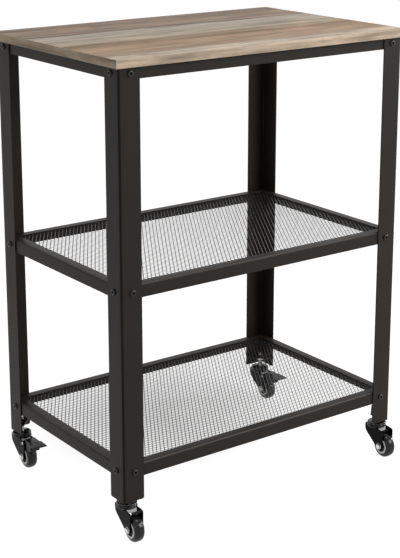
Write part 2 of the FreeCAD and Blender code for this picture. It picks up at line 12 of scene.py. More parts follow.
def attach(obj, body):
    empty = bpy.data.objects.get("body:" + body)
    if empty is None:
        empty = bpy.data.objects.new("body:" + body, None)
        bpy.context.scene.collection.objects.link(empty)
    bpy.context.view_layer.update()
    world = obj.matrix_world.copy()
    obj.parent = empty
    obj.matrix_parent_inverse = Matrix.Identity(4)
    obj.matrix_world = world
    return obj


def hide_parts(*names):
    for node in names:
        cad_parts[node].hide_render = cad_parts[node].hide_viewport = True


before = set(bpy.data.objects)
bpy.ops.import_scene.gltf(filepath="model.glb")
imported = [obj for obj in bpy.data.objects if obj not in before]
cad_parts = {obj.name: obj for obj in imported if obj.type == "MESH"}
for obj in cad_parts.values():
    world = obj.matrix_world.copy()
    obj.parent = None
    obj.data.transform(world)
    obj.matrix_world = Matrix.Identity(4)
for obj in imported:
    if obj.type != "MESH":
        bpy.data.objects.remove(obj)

# The looks of the serving cart. Lengths are in millimetres until a mesh is made.

log = logging.getLogger("serving_cart")

Point2 = tuple[float, float]
Point3 = tuple[float, float, float]
Color4 = tuple[float, float, float, float]
Face = tuple[int, ...]
# Takes a point from a piece's own coordinates to the cart's
Placer = Callable[[float, float, float], Point3]
Source = Union[bpy.types.NodeSocket, float, Sequence[float]]
SocketKinds = dict[str, tuple[str, Optional[Source]]]

# In metres: a millimetre, and how close vertices are to be merged
MM = 0.001
MERGE_DISTANCE = 1e-6
# In millimetres: the radius up to which a lathed end needs no cap
ON_AXIS = 0.001
FRAME_BODY = "frame"
HEXAGON = 6
# The numbers of a mix node's factor, its two colours and its mixed colour
MIX_INPUTS = (0, 6, 7)
MIX_RESULT = 2


# Names and choices


class Slot(str, Enum):
    """The record's material slots."""

    WOOD = "wood_top"
    STEEL = "black_steel"
    MESH = "mesh_steel"
    BOLTS = "black_bolts"
    ZINC = "zinc"
    CASTER = "caster_black"
    PEDAL = "pedal"
    TYRE = "tyre"
    HUB = "hub"


class Level(str, Enum):
    """The three heights at which rails join the legs."""

    TOP = "top"
    MIDDLE = "middle"
    BOTTOM = "bottom"


class Axis(Enum):
    """The axis that a form turns about or runs along."""

    X = "X"
    Y = "Y"
    Z = "Z"

    def point(self, a: float, b: float, along: float) -> Point3:
        """Make a point from two numbers across the axis and one along it.

        Args:
            a: the first number across the axis.
            b: the second number across the axis.
            along: the number along the axis.

        Returns:
            The point.
        """
        if self is Axis.X:
            return (along, a, b)
        return (a, along, b) if self is Axis.Y else (a, b, along)


class Side(Enum):
    """A side of the cart, with how far its rail is turned about Z."""

    FRONT = ("front", 0)
    RIGHT = ("right", 90)
    BACK = ("back", 180)
    LEFT = ("left", 270)

    def __init__(self, label: str, turn: float) -> None:
        """Keep the side's name in pieces and its turn in degrees."""
        self.label = label
        self.turn = turn

    @property
    def is_long(self) -> bool:
        """Whether this side runs along X."""
        return self in (Side.FRONT, Side.BACK)


class Corner(Enum):
    """A corner of the cart: its label, its side of X and of Y, its leg's turn and its brake."""

    FRONT_LEFT = ("front_left", -1, -1, 0, False)
    FRONT_RIGHT = ("front_right", 1, -1, 90, False)
    BACK_RIGHT = ("back_right", 1, 1, 180, True)
    BACK_LEFT = ("back_left", -1, 1, 270, True)

    def __init__(self, label: str, side_x: int, side_y: int, turn: float, braked: bool) -> None:
        """Keep what tells this corner from the others.

        Args:
            label: its name in pieces and nodes.
            side_x: 1 at +X, -1 at -X.
            side_y: 1 at +Y, -1 at -Y.
            turn: how far its leg is turned about Z, in degrees.
            braked: whether its caster has a brake.
        """
        self.label = label
        self.side_x = side_x
        self.side_y = side_y
        self.turn = turn
        self.braked = braked

    def signed(self, x: float, y: float, z: float) -> Point3:
        """Move a point of the back right quarter to this corner."""
        return (x * self.side_x, y * self.side_y, z)


class Moving(Enum):
    """A kind of moving body, of which each corner has its own."""

    SWIVEL = "swivel"
    WHEEL = "wheel"
    BRAKE = "brake"

    def at(self, corner: Corner) -> str:
        """Name this body at a corner."""
        return "%s_%s" % (self.value, corner.label)


class PlankFace(Enum):
    """A face of the board: its material's name, its share of plank tones and its grain's turn."""

    TOP = ("washed_planks", 1.0, 0)
    LONG_EDGE = ("washed_band", 0.0, 0)
    SHORT_EDGE = ("washed_short_band", 0.0, 90)

    def __init__(self, label: str, tones: float, turn: float) -> None:
        """Keep what tells this face from the others.

        Args:
            label: its material's name.
            tones: its share of the planks' tones, from 0 to 1.
            turn: how far its grain is turned about Z, in degrees.
        """
        self.label = label
        self.tones = tones
        self.turn = turn


# Sizes that several sub-assemblies share


@dataclass(frozen=True)
class CartSize:
    """The cart's outline and levels, its angle stock, and where its parts meet."""

    length: float = 610
    depth: float = 400
    height: float = 805
    board: float = 14
    setback: float = 11.75
    sheet: float = 2
    leg_x: float = 297
    leg_y: float = 192
    leg_bottom: float = 66
    rail_x: float = 295
    rail_y: float = 190
    rail_flange: float = 18
    swivel_x: float = 282
    swivel_y: float = 177
    levels: dict[Level, float] = field(
        default_factory=lambda: {Level.TOP: 791, Level.MIDDLE: 439.01, Level.BOTTOM: 129}
    )
    rail_walls: dict[Level, float] = field(
        default_factory=lambda: {Level.TOP: 20, Level.MIDDLE: 23, Level.BOTTOM: 23}
    )

    @property
    def underside(self) -> float:
        """The height of the board's underside."""
        return self.height - self.board


@dataclass(frozen=True)
class CasterSize:
    """What the parts of a caster share, about its swivel axis, with the wheel toward -Y."""

    turn: float = -3
    trail: float = 24
    wheel_radius: float = 22.5
    fork_width: float = 26


CART = CartSize()
CASTER = CasterSize()


# Finishes, one frozen record for each material


@dataclass(frozen=True)
class CoatFinish:
    """A painted or moulded surface: colour, gloss, the grain of its skin, and painted shade along
    its edges.
    """

    name: str
    color: Point3
    roughness: float
    specular: float = 0.5
    grain_scale: float = 900.0
    grain_height: float = 0.02
    mottle_gain: float = 1.5
    mottle_lift: float = 0.002
    mottle_share: float = 0.5
    gloss_swing: float = 0.1
    # edge, edge_color and the edge radius paint shade along convex edges
    edge: float = 0.0
    edge_color: Point3 = (0.09, 0.085, 0.08)
    edge_shade_radius: float = 0.0012
    dust: float = 0.0
    dust_color: Point3 = (0.2, 0.19, 0.18)
    dust_roughness: float = 0.4

    @property
    def mottled(self) -> Point3:
        """The colour of the skin's lighter patches."""
        red, green, blue = (min(1.0, c * self.mottle_gain + self.mottle_lift) for c in self.color)
        return (red, green, blue)


@dataclass(frozen=True)
class MetalFinish:
    """A plated metal: its colour, how dark its dull spots are, and the scale of its streaks."""

    name: str
    color: Point3
    dull_share: float = 0.72
    streak_scale: float = 300.0

    @property
    def dull(self) -> Point3:
        """The colour of the dull spots."""
        red, green, blue = (c * self.dull_share for c in self.color)
        return (red, green, blue)


@dataclass(frozen=True)
class GrainLayer:
    """A layer of noise drawn out along X: how dense it is each way, and its octaves."""

    along: float
    across: float
    detail: float
    roughness: float = 0.5
    scale: float = 1.0


@dataclass(frozen=True)
class PlankFinish:
    """The washed planks: their tones from the front to the back, their seams and their grain."""

    tones: Sequence[tuple[float, Point3]] = (
        (-200.0, (0.492, 0.410, 0.322)),
        (-162.0, (0.442, 0.364, 0.283)),
        (-150.0, (0.298, 0.210, 0.146)),
        (-112.0, (0.336, 0.236, 0.160)),
        (-90.0, (0.312, 0.214, 0.145)),
        (-64.0, (0.258, 0.175, 0.114)),
        (-40.0, (0.258, 0.184, 0.125)),
        (-31.0, (0.345, 0.290, 0.216)),
        (20.0, (0.372, 0.325, 0.258)),
        (70.0, (0.380, 0.330, 0.270)),
        (79.0, (0.150, 0.112, 0.084)),
        (87.0, (0.275, 0.206, 0.155)),
        (150.0, (0.242, 0.178, 0.131)),
        (176.0, (0.186, 0.132, 0.097)),
        (200.0, (0.246, 0.198, 0.167)),
    )
    seams: Sequence[float] = (-155.0, -33.0, 79.0)
    seam_width: float = 1.6
    edge_color: Point3 = (0.458, 0.360, 0.265)
    pore: Point3 = (0.075, 0.050, 0.036)
    blush: Point3 = (0.335, 0.205, 0.140)
    wash: Point3 = (0.46, 0.41, 0.345)
    worn: Point3 = (0.58, 0.52, 0.44)
    worn_amount: float = 0.5
    worn_radius: float = 0.0012
    roughness: float = 0.52
    roughness_gain: float = 0.2
    specular: float = 0.08
    bump_strength: float = 0.35
    bump_distance: float = 0.0006
    wander: float = 0.016
    plank_step: Point2 = (3.7, 1.3)
    blush_share: float = 0.28
    wash_share: float = 0.30
    saw_share: float = 0.10
    check_share: float = 0.55
    smudge_share: float = 0.5
    seam_share: float = 0.45
    seam_relief: float = -1.2
    fibre_relief: float = 0.5
    check_relief: float = 0.5
    slow: GrainLayer = GrainLayer(along=2.2, across=9.0, detail=3.0, scale=2.0)
    fibres: GrainLayer = GrainLayer(along=7.0, across=210.0, detail=7.0, roughness=0.7)
    streaks: GrainLayer = GrainLayer(along=6.0, across=62.0, detail=5.0, roughness=0.62)
    patches: GrainLayer = GrainLayer(along=9.0, across=26.0, detail=3.0, roughness=0.55)
    smudges: GrainLayer = GrainLayer(along=17.0, across=58.0, detail=4.0, roughness=0.6)
    fields: GrainLayer = GrainLayer(along=4.5, across=22.0, detail=4.0, roughness=0.6)
    checks: GrainLayer = GrainLayer(along=46.0, across=330.0, detail=3.0, roughness=0.6)
    marks: GrainLayer = GrainLayer(along=170.0, across=14.0, detail=3.0)


POWDER = CoatFinish(
    name="powder_coat",
    color=(0.0135, 0.0105, 0.0078),
    roughness=0.42,
    specular=0.13,
    grain_scale=1500,
    grain_height=0.035,
    # painted shade: dark lines along the convex edges of legs, rails and plates
    edge=0.75,
    edge_color=(0.003, 0.0025, 0.002),
    edge_shade_radius=0.0016,
    dust=0.02,
)
# painted shade: a dark line along each leg's outer bend
LEG_BEND_SHADE = CoatFinish(
    name="leg_bend_painted_shade",
    color=(0.0035, 0.003, 0.0026),
    roughness=0.34,
    specular=0.1,
    grain_scale=1500,
    grain_height=0.03,
)
# painted highlight: a light line along each rail's outer bend
RAIL_BEND_HIGHLIGHT = CoatFinish(
    name="rail_bend_painted_highlight",
    color=(0.075, 0.068, 0.062),
    roughness=0.36,
    specular=0.2,
    grain_scale=1500,
    grain_height=0.03,
)
MESH_COAT = CoatFinish(
    name="mesh_coat",
    color=(0.016, 0.015, 0.014),
    roughness=0.32,
    specular=0.16,
    grain_scale=1500,
)
BLACK_OXIDE = CoatFinish(
    name="black_oxide",
    color=(0.010, 0.0095, 0.009),
    roughness=0.27,
    specular=0.3,
    grain_scale=2500,
    grain_height=0.015,
)
# painted shade: the hex socket drawn darker than the head
SOCKET_SHADE = CoatFinish(
    name="socket_painted_shade",
    color=(0.0015, 0.0015, 0.0015),
    roughness=0.5,
    specular=0.05,
    grain_scale=2500,
    grain_height=0.015,
)
ENAMEL = CoatFinish(
    name="caster_enamel",
    color=(0.0024, 0.0024, 0.0026),
    roughness=0.13,
    specular=0.04,
    grain_scale=150,
    grain_height=0.10,
)
GLOSS_ENAMEL = CoatFinish(
    name="gloss_enamel",
    color=(0.0024, 0.0024, 0.0026),
    roughness=0.12,
    specular=0.45,
    grain_scale=150,
    grain_height=0.06,
)
PEDAL_ENAMEL = CoatFinish(
    name="pedal_enamel",
    color=(0.003, 0.003, 0.0032),
    roughness=0.2,
    specular=0.13,
    grain_scale=150,
    grain_height=0.1,
)
TYRE_RUBBER = CoatFinish(
    name="tyre_rubber",
    color=(0.006, 0.006, 0.0063),
    roughness=0.15,
    specular=0.26,
)
HUB_PLASTIC = CoatFinish(
    name="hub_plastic",
    color=(0.009, 0.009, 0.0095),
    roughness=0.35,
    specular=0.2,
    grain_scale=1200,
    grain_height=0.03,
)
RING_PLASTIC = CoatFinish(
    name="ring_plastic",
    color=(0.80, 0.80, 0.77),
    roughness=0.38,
    grain_scale=1200,
)
ZINC_PLATE = MetalFinish(name="zinc_plate", color=(0.72, 0.72, 0.70))
PLANKS = PlankFinish()


def opaque(color: Point3) -> Color4:
    """Give a colour full alpha."""
    return (*color, 1.0)


# Shader nodes and the groups that several materials share


class Wiring:
    """A small helper to add and link nodes in one tree."""

    def __init__(self, tree: bpy.types.NodeTree) -> None:
        """Keep the tree that the nodes go into."""
        self.tree = tree

    def node(self, kind: str, **settings: object) -> bpy.types.Node:
        """Add a node.

        Args:
            kind: the node's type name.
            settings: attributes to set on it.

        Returns:
            The new node.
        """
        made = self.tree.nodes.new(kind)
        for name, value in settings.items():
            setattr(made, name, value)
        return made

    def feed(self, socket: bpy.types.NodeSocket, source: Source) -> None:
        """Link a socket to another one, or set its plain value.

        Args:
            socket: the input socket.
            source: an output socket, or a number or tuple.
        """
        if isinstance(source, bpy.types.NodeSocket):
            self.tree.links.new(source, socket)
        else:
            socket.default_value = source

    def math(self, operation: str, *values: Source, clamp: bool = False) -> bpy.types.NodeSocket:
        """Add a math node.

        Args:
            operation: Blender's name of the operation.
            values: sockets or numbers for its inputs.
            clamp: whether the result is kept between 0 and 1.

        Returns:
            The result socket.
        """
        made = self.node("ShaderNodeMath", operation=operation, use_clamp=clamp)
        for socket, value in zip(made.inputs, values):
            self.feed(socket, value)
        return made.outputs[0]

    def product(self, first: Source, second: Source) -> bpy.types.NodeSocket:
        """Multiply two values."""
        return self.math("MULTIPLY", first, second)

    def scaled(self, value: Source, gain: Source, offset: Source) -> bpy.types.NodeSocket:
        """Multiply a value by a gain and add an offset."""
        return self.math("ADD", offset, self.product(value, gain))

    def vectors(self, operation: str, first: Source, second: Source) -> bpy.types.Node:
        """Add a vector math node.

        Args:
            operation: Blender's name of the operation.
            first: its first vector.
            second: its second vector.

        Returns:
            The node, which has a vector and a value.
        """
        made = self.node("ShaderNodeVectorMath", operation=operation)
        self.feed(made.inputs[0], first)
        self.feed(made.inputs[1], second)
        return made

    def mix(self, factor: Source, first: Source, second: Source) -> bpy.types.NodeSocket:
        """Add a colour mix node.

        Args:
            factor: the share of the second colour.
            first: the first colour.
            second: the second colour.

        Returns:
            The colour socket.
        """
        made = self.node("ShaderNodeMix", data_type="RGBA")
        for number, source in zip(MIX_INPUTS, (factor, first, second)):
            self.feed(made.inputs[number], source)
        return made.outputs[MIX_RESULT]

    def noise(
        self, vector: Source, scale: Source, detail: float = 2.0, roughness: float = 0.5
    ) -> bpy.types.NodeSocket:
        """Add a noise texture.

        Args:
            vector: the coordinates.
            scale: its scale.
            detail: its octaves.
            roughness: the strength of the finer octaves.

        Returns:
            The value socket.
        """
        made = self.node("ShaderNodeTexNoise")
        self.feed(made.inputs["Vector"], vector)
        self.feed(made.inputs["Scale"], scale)
        self.feed(made.inputs["Detail"], detail)
        self.feed(made.inputs["Roughness"], roughness)
        return made.outputs[0]

    def grain(self, vector: Source, layer: GrainLayer) -> bpy.types.NodeSocket:
        """Add a noise texture drawn out along X.

        Args:
            vector: the coordinates.
            layer: its densities and octaves.

        Returns:
            The value socket.
        """
        drawn = self.stretch(vector, (layer.along, layer.across, layer.across))
        return self.noise(drawn, layer.scale, layer.detail, layer.roughness)

    def ramp(self, value: Source, low: float, high: float) -> bpy.types.NodeSocket:
        """Stretch a value so that low becomes 0 and high becomes 1.

        Args:
            value: the value socket.
            low: the value that becomes 0.
            high: the value that becomes 1.

        Returns:
            The stretched value, clamped.
        """
        made = self.node("ShaderNodeMapRange", clamp=True)
        self.feed(made.inputs["Value"], value)
        self.feed(made.inputs["From Min"], low)
        self.feed(made.inputs["From Max"], high)
        return made.outputs[0]

    def stretch(self, vector: Source, scale: Point3) -> bpy.types.NodeSocket:
        """Scale coordinates by a factor for each axis."""
        return self.vectors("MULTIPLY", vector, scale).outputs[0]

    def split(self, vector: Source) -> Sequence[bpy.types.NodeSocket]:
        """Take a vector apart.

        Args:
            vector: the vector.

        Returns:
            The sockets of its X, Y and Z.
        """
        made = self.node("ShaderNodeSeparateXYZ")
        self.feed(made.inputs[0], vector)
        return made.outputs

    def joined(self, *parts: Source) -> bpy.types.NodeSocket:
        """Make a vector of X, Y and Z.

        Args:
            parts: the three values.

        Returns:
            The vector socket.
        """
        made = self.node("ShaderNodeCombineXYZ")
        for socket, value in zip(made.inputs, parts):
            self.feed(socket, value)
        return made.outputs[0]

    def normal(self) -> bpy.types.NodeSocket:
        """Find the surface's normal."""
        return self.node("ShaderNodeNewGeometry").outputs["Normal"]

    def bump(self, height: Source, strength: Source, distance: float) -> bpy.types.NodeSocket:
        """Add a bump node.

        Args:
            height: the height socket.
            strength: its strength.
            distance: how far a height of 1 stands out, in metres.

        Returns:
            The normal socket.
        """
        made = self.node("ShaderNodeBump")
        self.feed(made.inputs["Strength"], strength)
        self.feed(made.inputs["Distance"], distance)
        self.feed(made.inputs["Height"], height)
        return made.outputs[0]


class GroupDraft:
    """A node group that is being made, with its named inputs and outputs."""

    def __init__(self, name: str, inputs: SocketKinds, outputs: dict[str, str]) -> None:
        """Make an empty group.

        Args:
            name: the group's name.
            inputs: socket name to (type, default value or None).
            outputs: socket name to type.
        """
        self.tree = bpy.data.node_groups.new(name, "ShaderNodeTree")
        for label, (kind, default) in inputs.items():
            socket = self.tree.interface.new_socket(label, in_out="INPUT", socket_type=kind)
            if default is not None:
                socket.default_value = default
        for label, kind in outputs.items():
            self.tree.interface.new_socket(label, in_out="OUTPUT", socket_type=kind)
        self.wiring = Wiring(self.tree)
        self.given = self.wiring.node("NodeGroupInput").outputs
        self.result = self.wiring.node("NodeGroupOutput").inputs

    def give(self, name: str, source: Source) -> None:
        """Feed one of the group's outputs."""
        self.wiring.feed(self.result[name], source)


class PlankEffect:
    """The grey-washed planks: tones from front to back, grain along X, checks and seams."""

    def __init__(self, finish: PlankFinish) -> None:
        """Start the group and its coordinates.

        Args:
            finish: the planks' tones, seams and grain.
        """
        self.finish = finish
        self.draft = GroupDraft(
            "fx_washed_planks",
            {
                "Vector": ("NodeSocketVector", None),
                "Plank Tones": ("NodeSocketFloat", 1.0),
                "Edge Color": ("NodeSocketColor", opaque(finish.edge_color)),
            },
            {"Color": "NodeSocketColor", "Height": "NodeSocketFloat", "Gloss": "NodeSocketFloat"},
        )
        wiring = self.draft.wiring
        self.wiring = wiring
        self.place = self.draft.given["Vector"]
        self.tones = self.draft.given["Plank Tones"]
        self.from_front = wiring.split(self.place)[1]
        slow = wiring.grain(self.place, finish.slow)
        self.wander = wiring.product(wiring.math("SUBTRACT", slow, 0.5), finish.wander)

    def banded(self) -> bpy.types.NodeSocket:
        """Make the tones from the front to the back.

        Returns:
            The colour socket.
        """
        wiring = self.wiring
        half = CART.depth / 2
        start, end = (CART.setback - half) * MM, (CART.setback + half) * MM
        across = wiring.math("ADD", self.from_front, self.wander)
        band = wiring.node("ShaderNodeValToRGB")
        wiring.feed(band.inputs[0], wiring.ramp(across, start, end))
        stops = band.color_ramp.elements
        ready = len(stops)
        for number, (at, color) in enumerate(self.finish.tones):
            share = (at + half) / CART.depth
            stop = stops[number] if number < ready else stops.new(share)
            stop.position = share
            stop.color = opaque(color)
        return wiring.mix(self.tones, self.draft.given["Edge Color"], band.outputs[0])

    def seams(self) -> tuple[Source, Source]:
        """Count the planks and find the seams between them.

        Returns:
            The plank's number and the mask of the seams.
        """
        wiring = self.wiring
        number: Source = 0.0
        mask: Source = 0.0
        for seam in self.finish.seams:
            edge = (seam + CART.setback) * MM
            beyond = wiring.math("GREATER_THAN", self.from_front, edge)
            number = wiring.math("ADD", number, beyond)
            apart = wiring.math("ABSOLUTE", wiring.math("SUBTRACT", self.from_front, edge))
            near = wiring.ramp(apart, low=self.finish.seam_width * MM, high=0.0)
            mask = wiring.math("MAXIMUM", mask, near)
        return number, mask

    def own_place(self, number: Source) -> bpy.types.NodeSocket:
        """Move the coordinates so that each plank has a grain of its own.

        Args:
            number: the plank's number.

        Returns:
            The moved coordinates.
        """
        wiring = self.wiring
        step_x, step_z = self.finish.plank_step
        shift = wiring.joined(
            wiring.product(number, step_x), self.wander, wiring.product(number, step_z)
        )
        return wiring.vectors("ADD", self.place, shift).outputs[0]

    def toned(
        self, color: Source, fibres: Source, streaks: Source, patches: Source
    ) -> bpy.types.NodeSocket:
        """Lighten and darken a colour by the broad grain, and blush its patches.

        Args:
            color: the plank's colour.
            fibres: the fine grain.
            streaks: the long streaks.
            patches: the broad patches.

        Returns:
            The colour socket.
        """
        wiring = self.wiring
        tone = wiring.scaled(wiring.ramp(streaks, low=0.32, high=0.68), gain=0.80, offset=0.58)
        fine = wiring.scaled(wiring.ramp(fibres, low=0.30, high=0.70), gain=0.40, offset=0.80)
        tone = wiring.product(tone, fine)
        broad = wiring.scaled(wiring.ramp(patches, low=0.30, high=0.70), gain=0.28, offset=0.86)
        tone = wiring.product(tone, broad)
        blushed = wiring.product(wiring.ramp(patches, low=0.56, high=0.72), self.tones)
        blushed = wiring.product(blushed, self.finish.blush_share)
        color = wiring.mix(blushed, color, opaque(self.finish.blush))
        return wiring.vectors("MULTIPLY", color, wiring.joined(tone, tone, tone)).outputs[0]

    def build(self) -> bpy.types.NodeTree:
        """Join the tones, the grain, the wash and the seams.

        Returns:
            The node group.
        """
        wiring, finish = self.wiring, self.finish
        number, seam_mask = self.seams()
        own = self.own_place(number)
        fibres = wiring.grain(own, finish.fibres)
        streaks = wiring.grain(own, finish.streaks)
        patches = wiring.grain(own, finish.patches)
        smudges = wiring.grain(own, finish.smudges)
        fields = wiring.grain(own, finish.fields)
        checks = wiring.grain(own, finish.checks)
        marks = wiring.grain(own, finish.marks)
        color = self.toned(self.banded(), fibres, streaks, patches)
        wash, pore = opaque(finish.wash), opaque(finish.pore)
        chalky = wiring.ramp(fields, low=0.50, high=0.74)
        washed = wiring.product(chalky, wiring.ramp(fibres, low=0.35, high=0.6))
        color = wiring.mix(wiring.product(washed, finish.wash_share), color, wash)
        sawn = wiring.ramp(marks, low=0.56, high=0.78)
        color = wiring.mix(wiring.product(sawn, finish.saw_share), color, wash)
        bare = wiring.ramp(fields, low=0.58, high=0.40)
        split = wiring.product(wiring.ramp(checks, low=0.60, high=0.74), bare)
        color = wiring.mix(wiring.product(split, finish.check_share), color, pore)
        smudge = wiring.ramp(smudges, low=0.60, high=0.76)
        color = wiring.mix(wiring.product(smudge, finish.smudge_share), color, pore)
        line = wiring.product(wiring.product(seam_mask, self.tones), finish.seam_share)
        color = wiring.mix(line, color, pore)
        self.draft.give("Color", color)
        raised = wiring.product(fibres, finish.fibre_relief)
        relief = wiring.math("SUBTRACT", raised, wiring.product(split, finish.check_relief))
        groove = wiring.product(line, finish.seam_relief)
        self.draft.give("Height", wiring.math("ADD", relief, groove))
        gloss = wiring.scaled(fibres, gain=finish.roughness_gain, offset=finish.roughness)
        self.draft.give("Gloss", gloss)
        return self.draft.tree


class EffectGroups:
    """Builds the shared effects once and places them in materials."""

    def __init__(self) -> None:
        """Build every group."""
        self.skin = self._skin_group()
        # edge mask: rubbed wear on the planks, painted shade on the powder coat
        self.wear_and_shade = self._wear_and_shade_group()
        self.dust = self._dust_group()
        self.planks = PlankEffect(PLANKS).build()
        self.streaks = self._streak_group()

    @staticmethod
    def _skin_group() -> bpy.types.NodeTree:
        """Make the fine pebbled skin of powder coat, rubber or moulded plastic.

        Returns:
            The node group.
        """
        draft = GroupDraft(
            "fx_pebbled_skin",
            {
                "Vector": ("NodeSocketVector", None),
                "Scale": ("NodeSocketFloat", 900.0),
                "Height": ("NodeSocketFloat", 0.02),
            },
            {"Normal": "NodeSocketVector", "Mottle": "NodeSocketFloat"},
        )
        wiring, given = draft.wiring, draft.given
        fine = wiring.noise(given["Vector"], given["Scale"], detail=3.0)
        broad = wiring.noise(given["Vector"], scale=14.0, detail=4.0, roughness=0.6)
        steepness = 4.0
        strength = wiring.product(given["Height"], steepness)
        draft.give("Normal", wiring.bump(fine, strength, distance=0.0004))
        draft.give("Mottle", broad)
        return draft.tree

    @staticmethod
    def _wear_and_shade_group() -> bpy.types.NodeTree:
        """Make a mask of convex edges, broken up by noise: rubbed wear on the planks, painted shade
        on the powder coat.

        Returns:
            The node group.
        """
        draft = GroupDraft(
            "fx_edge_wear_and_shade",
            {
                "Vector": ("NodeSocketVector", None),
                "Amount": ("NodeSocketFloat", 0.3),
                "Radius": ("NodeSocketFloat", 0.0012),
            },
            {"Mask": "NodeSocketFloat"},
        )
        wiring, given = draft.wiring, draft.given
        rounded = wiring.node("ShaderNodeBevel", samples=4)
        wiring.feed(rounded.inputs["Radius"], given["Radius"])
        facing = wiring.vectors("DOT_PRODUCT", rounded.outputs[0], wiring.normal())
        apart = wiring.math("SUBTRACT", 1.0, facing.outputs["Value"])
        edge = wiring.ramp(apart, low=0.01, high=0.12)
        cloud = wiring.noise(given["Vector"], scale=90.0, detail=5.0, roughness=0.7)
        rough = wiring.ramp(cloud, low=0.35, high=0.75)
        worn = wiring.product(edge, wiring.scaled(rough, gain=0.8, offset=0.2))
        draft.give("Mask", wiring.math("MULTIPLY", worn, given["Amount"], clamp=True))
        return draft.tree

    @staticmethod
    def _dust_group() -> bpy.types.NodeTree:
        """Make a mask of what settles on surfaces that face up.

        Returns:
            The node group.
        """
        draft = GroupDraft(
            "fx_settled_dust",
            {"Vector": ("NodeSocketVector", None), "Amount": ("NodeSocketFloat", 0.1)},
            {"Mask": "NodeSocketFloat"},
        )
        wiring, given = draft.wiring, draft.given
        up = wiring.ramp(wiring.split(wiring.normal())[2], low=0.3, high=1.0)
        patches = wiring.noise(given["Vector"], scale=22.0, detail=6.0, roughness=0.65)
        mask = wiring.product(up, wiring.ramp(patches, low=0.25, high=0.8))
        draft.give("Mask", wiring.math("MULTIPLY", mask, given["Amount"], clamp=True))
        return draft.tree

    @staticmethod
    def _streak_group() -> bpy.types.NodeTree:
        """Make the fine drawn streaks of plated metal.

        Returns:
            The node group.
        """
        draft = GroupDraft(
            "fx_drawn_streaks",
            {"Vector": ("NodeSocketVector", None), "Scale": ("NodeSocketFloat", 300.0)},
            {"Roughness": "NodeSocketFloat", "Tone": "NodeSocketFloat"},
        )
        wiring, given = draft.wiring, draft.given
        flattened = wiring.stretch(given["Vector"], (1.0, 1.0, 8.0))
        drawn = wiring.noise(flattened, given["Scale"], detail=3.0)
        spots = wiring.noise(given["Vector"], scale=60.0, detail=4.0)
        draft.give("Roughness", wiring.scaled(drawn, gain=0.18, offset=0.17))
        draft.give("Tone", wiring.ramp(spots, low=0.3, high=0.7))
        return draft.tree


class MaterialDraft:
    """A material that is being made: one shader and object coordinates."""

    def __init__(self, name: str) -> None:
        """Start a material.

        Args:
            name: the material's name.
        """
        self.material = bpy.data.materials.new(name)
        self.material.use_nodes = True
        self.wiring = Wiring(self.material.node_tree)
        self.shader = self.material.node_tree.nodes["Principled BSDF"].inputs
        self.place = self.wiring.node("ShaderNodeTexCoord").outputs["Object"]

    def effect(self, tree: bpy.types.NodeTree, **inputs: Source) -> bpy.types.NodeOutputs:
        """Put a shared effect into the material.

        Args:
            tree: the effect's group.
            inputs: input name, with underscores for spaces, to socket or value.

        Returns:
            The effect's outputs.
        """
        made = self.wiring.node("ShaderNodeGroup", node_tree=tree)
        self.wiring.feed(made.inputs["Vector"], self.place)
        for name, value in inputs.items():
            self.wiring.feed(made.inputs[name.replace("_", " ")], value)
        return made.outputs

    def set(self, name: str, source: Source) -> None:
        """Feed or set one of the shader's inputs."""
        self.wiring.feed(self.shader[name], source)


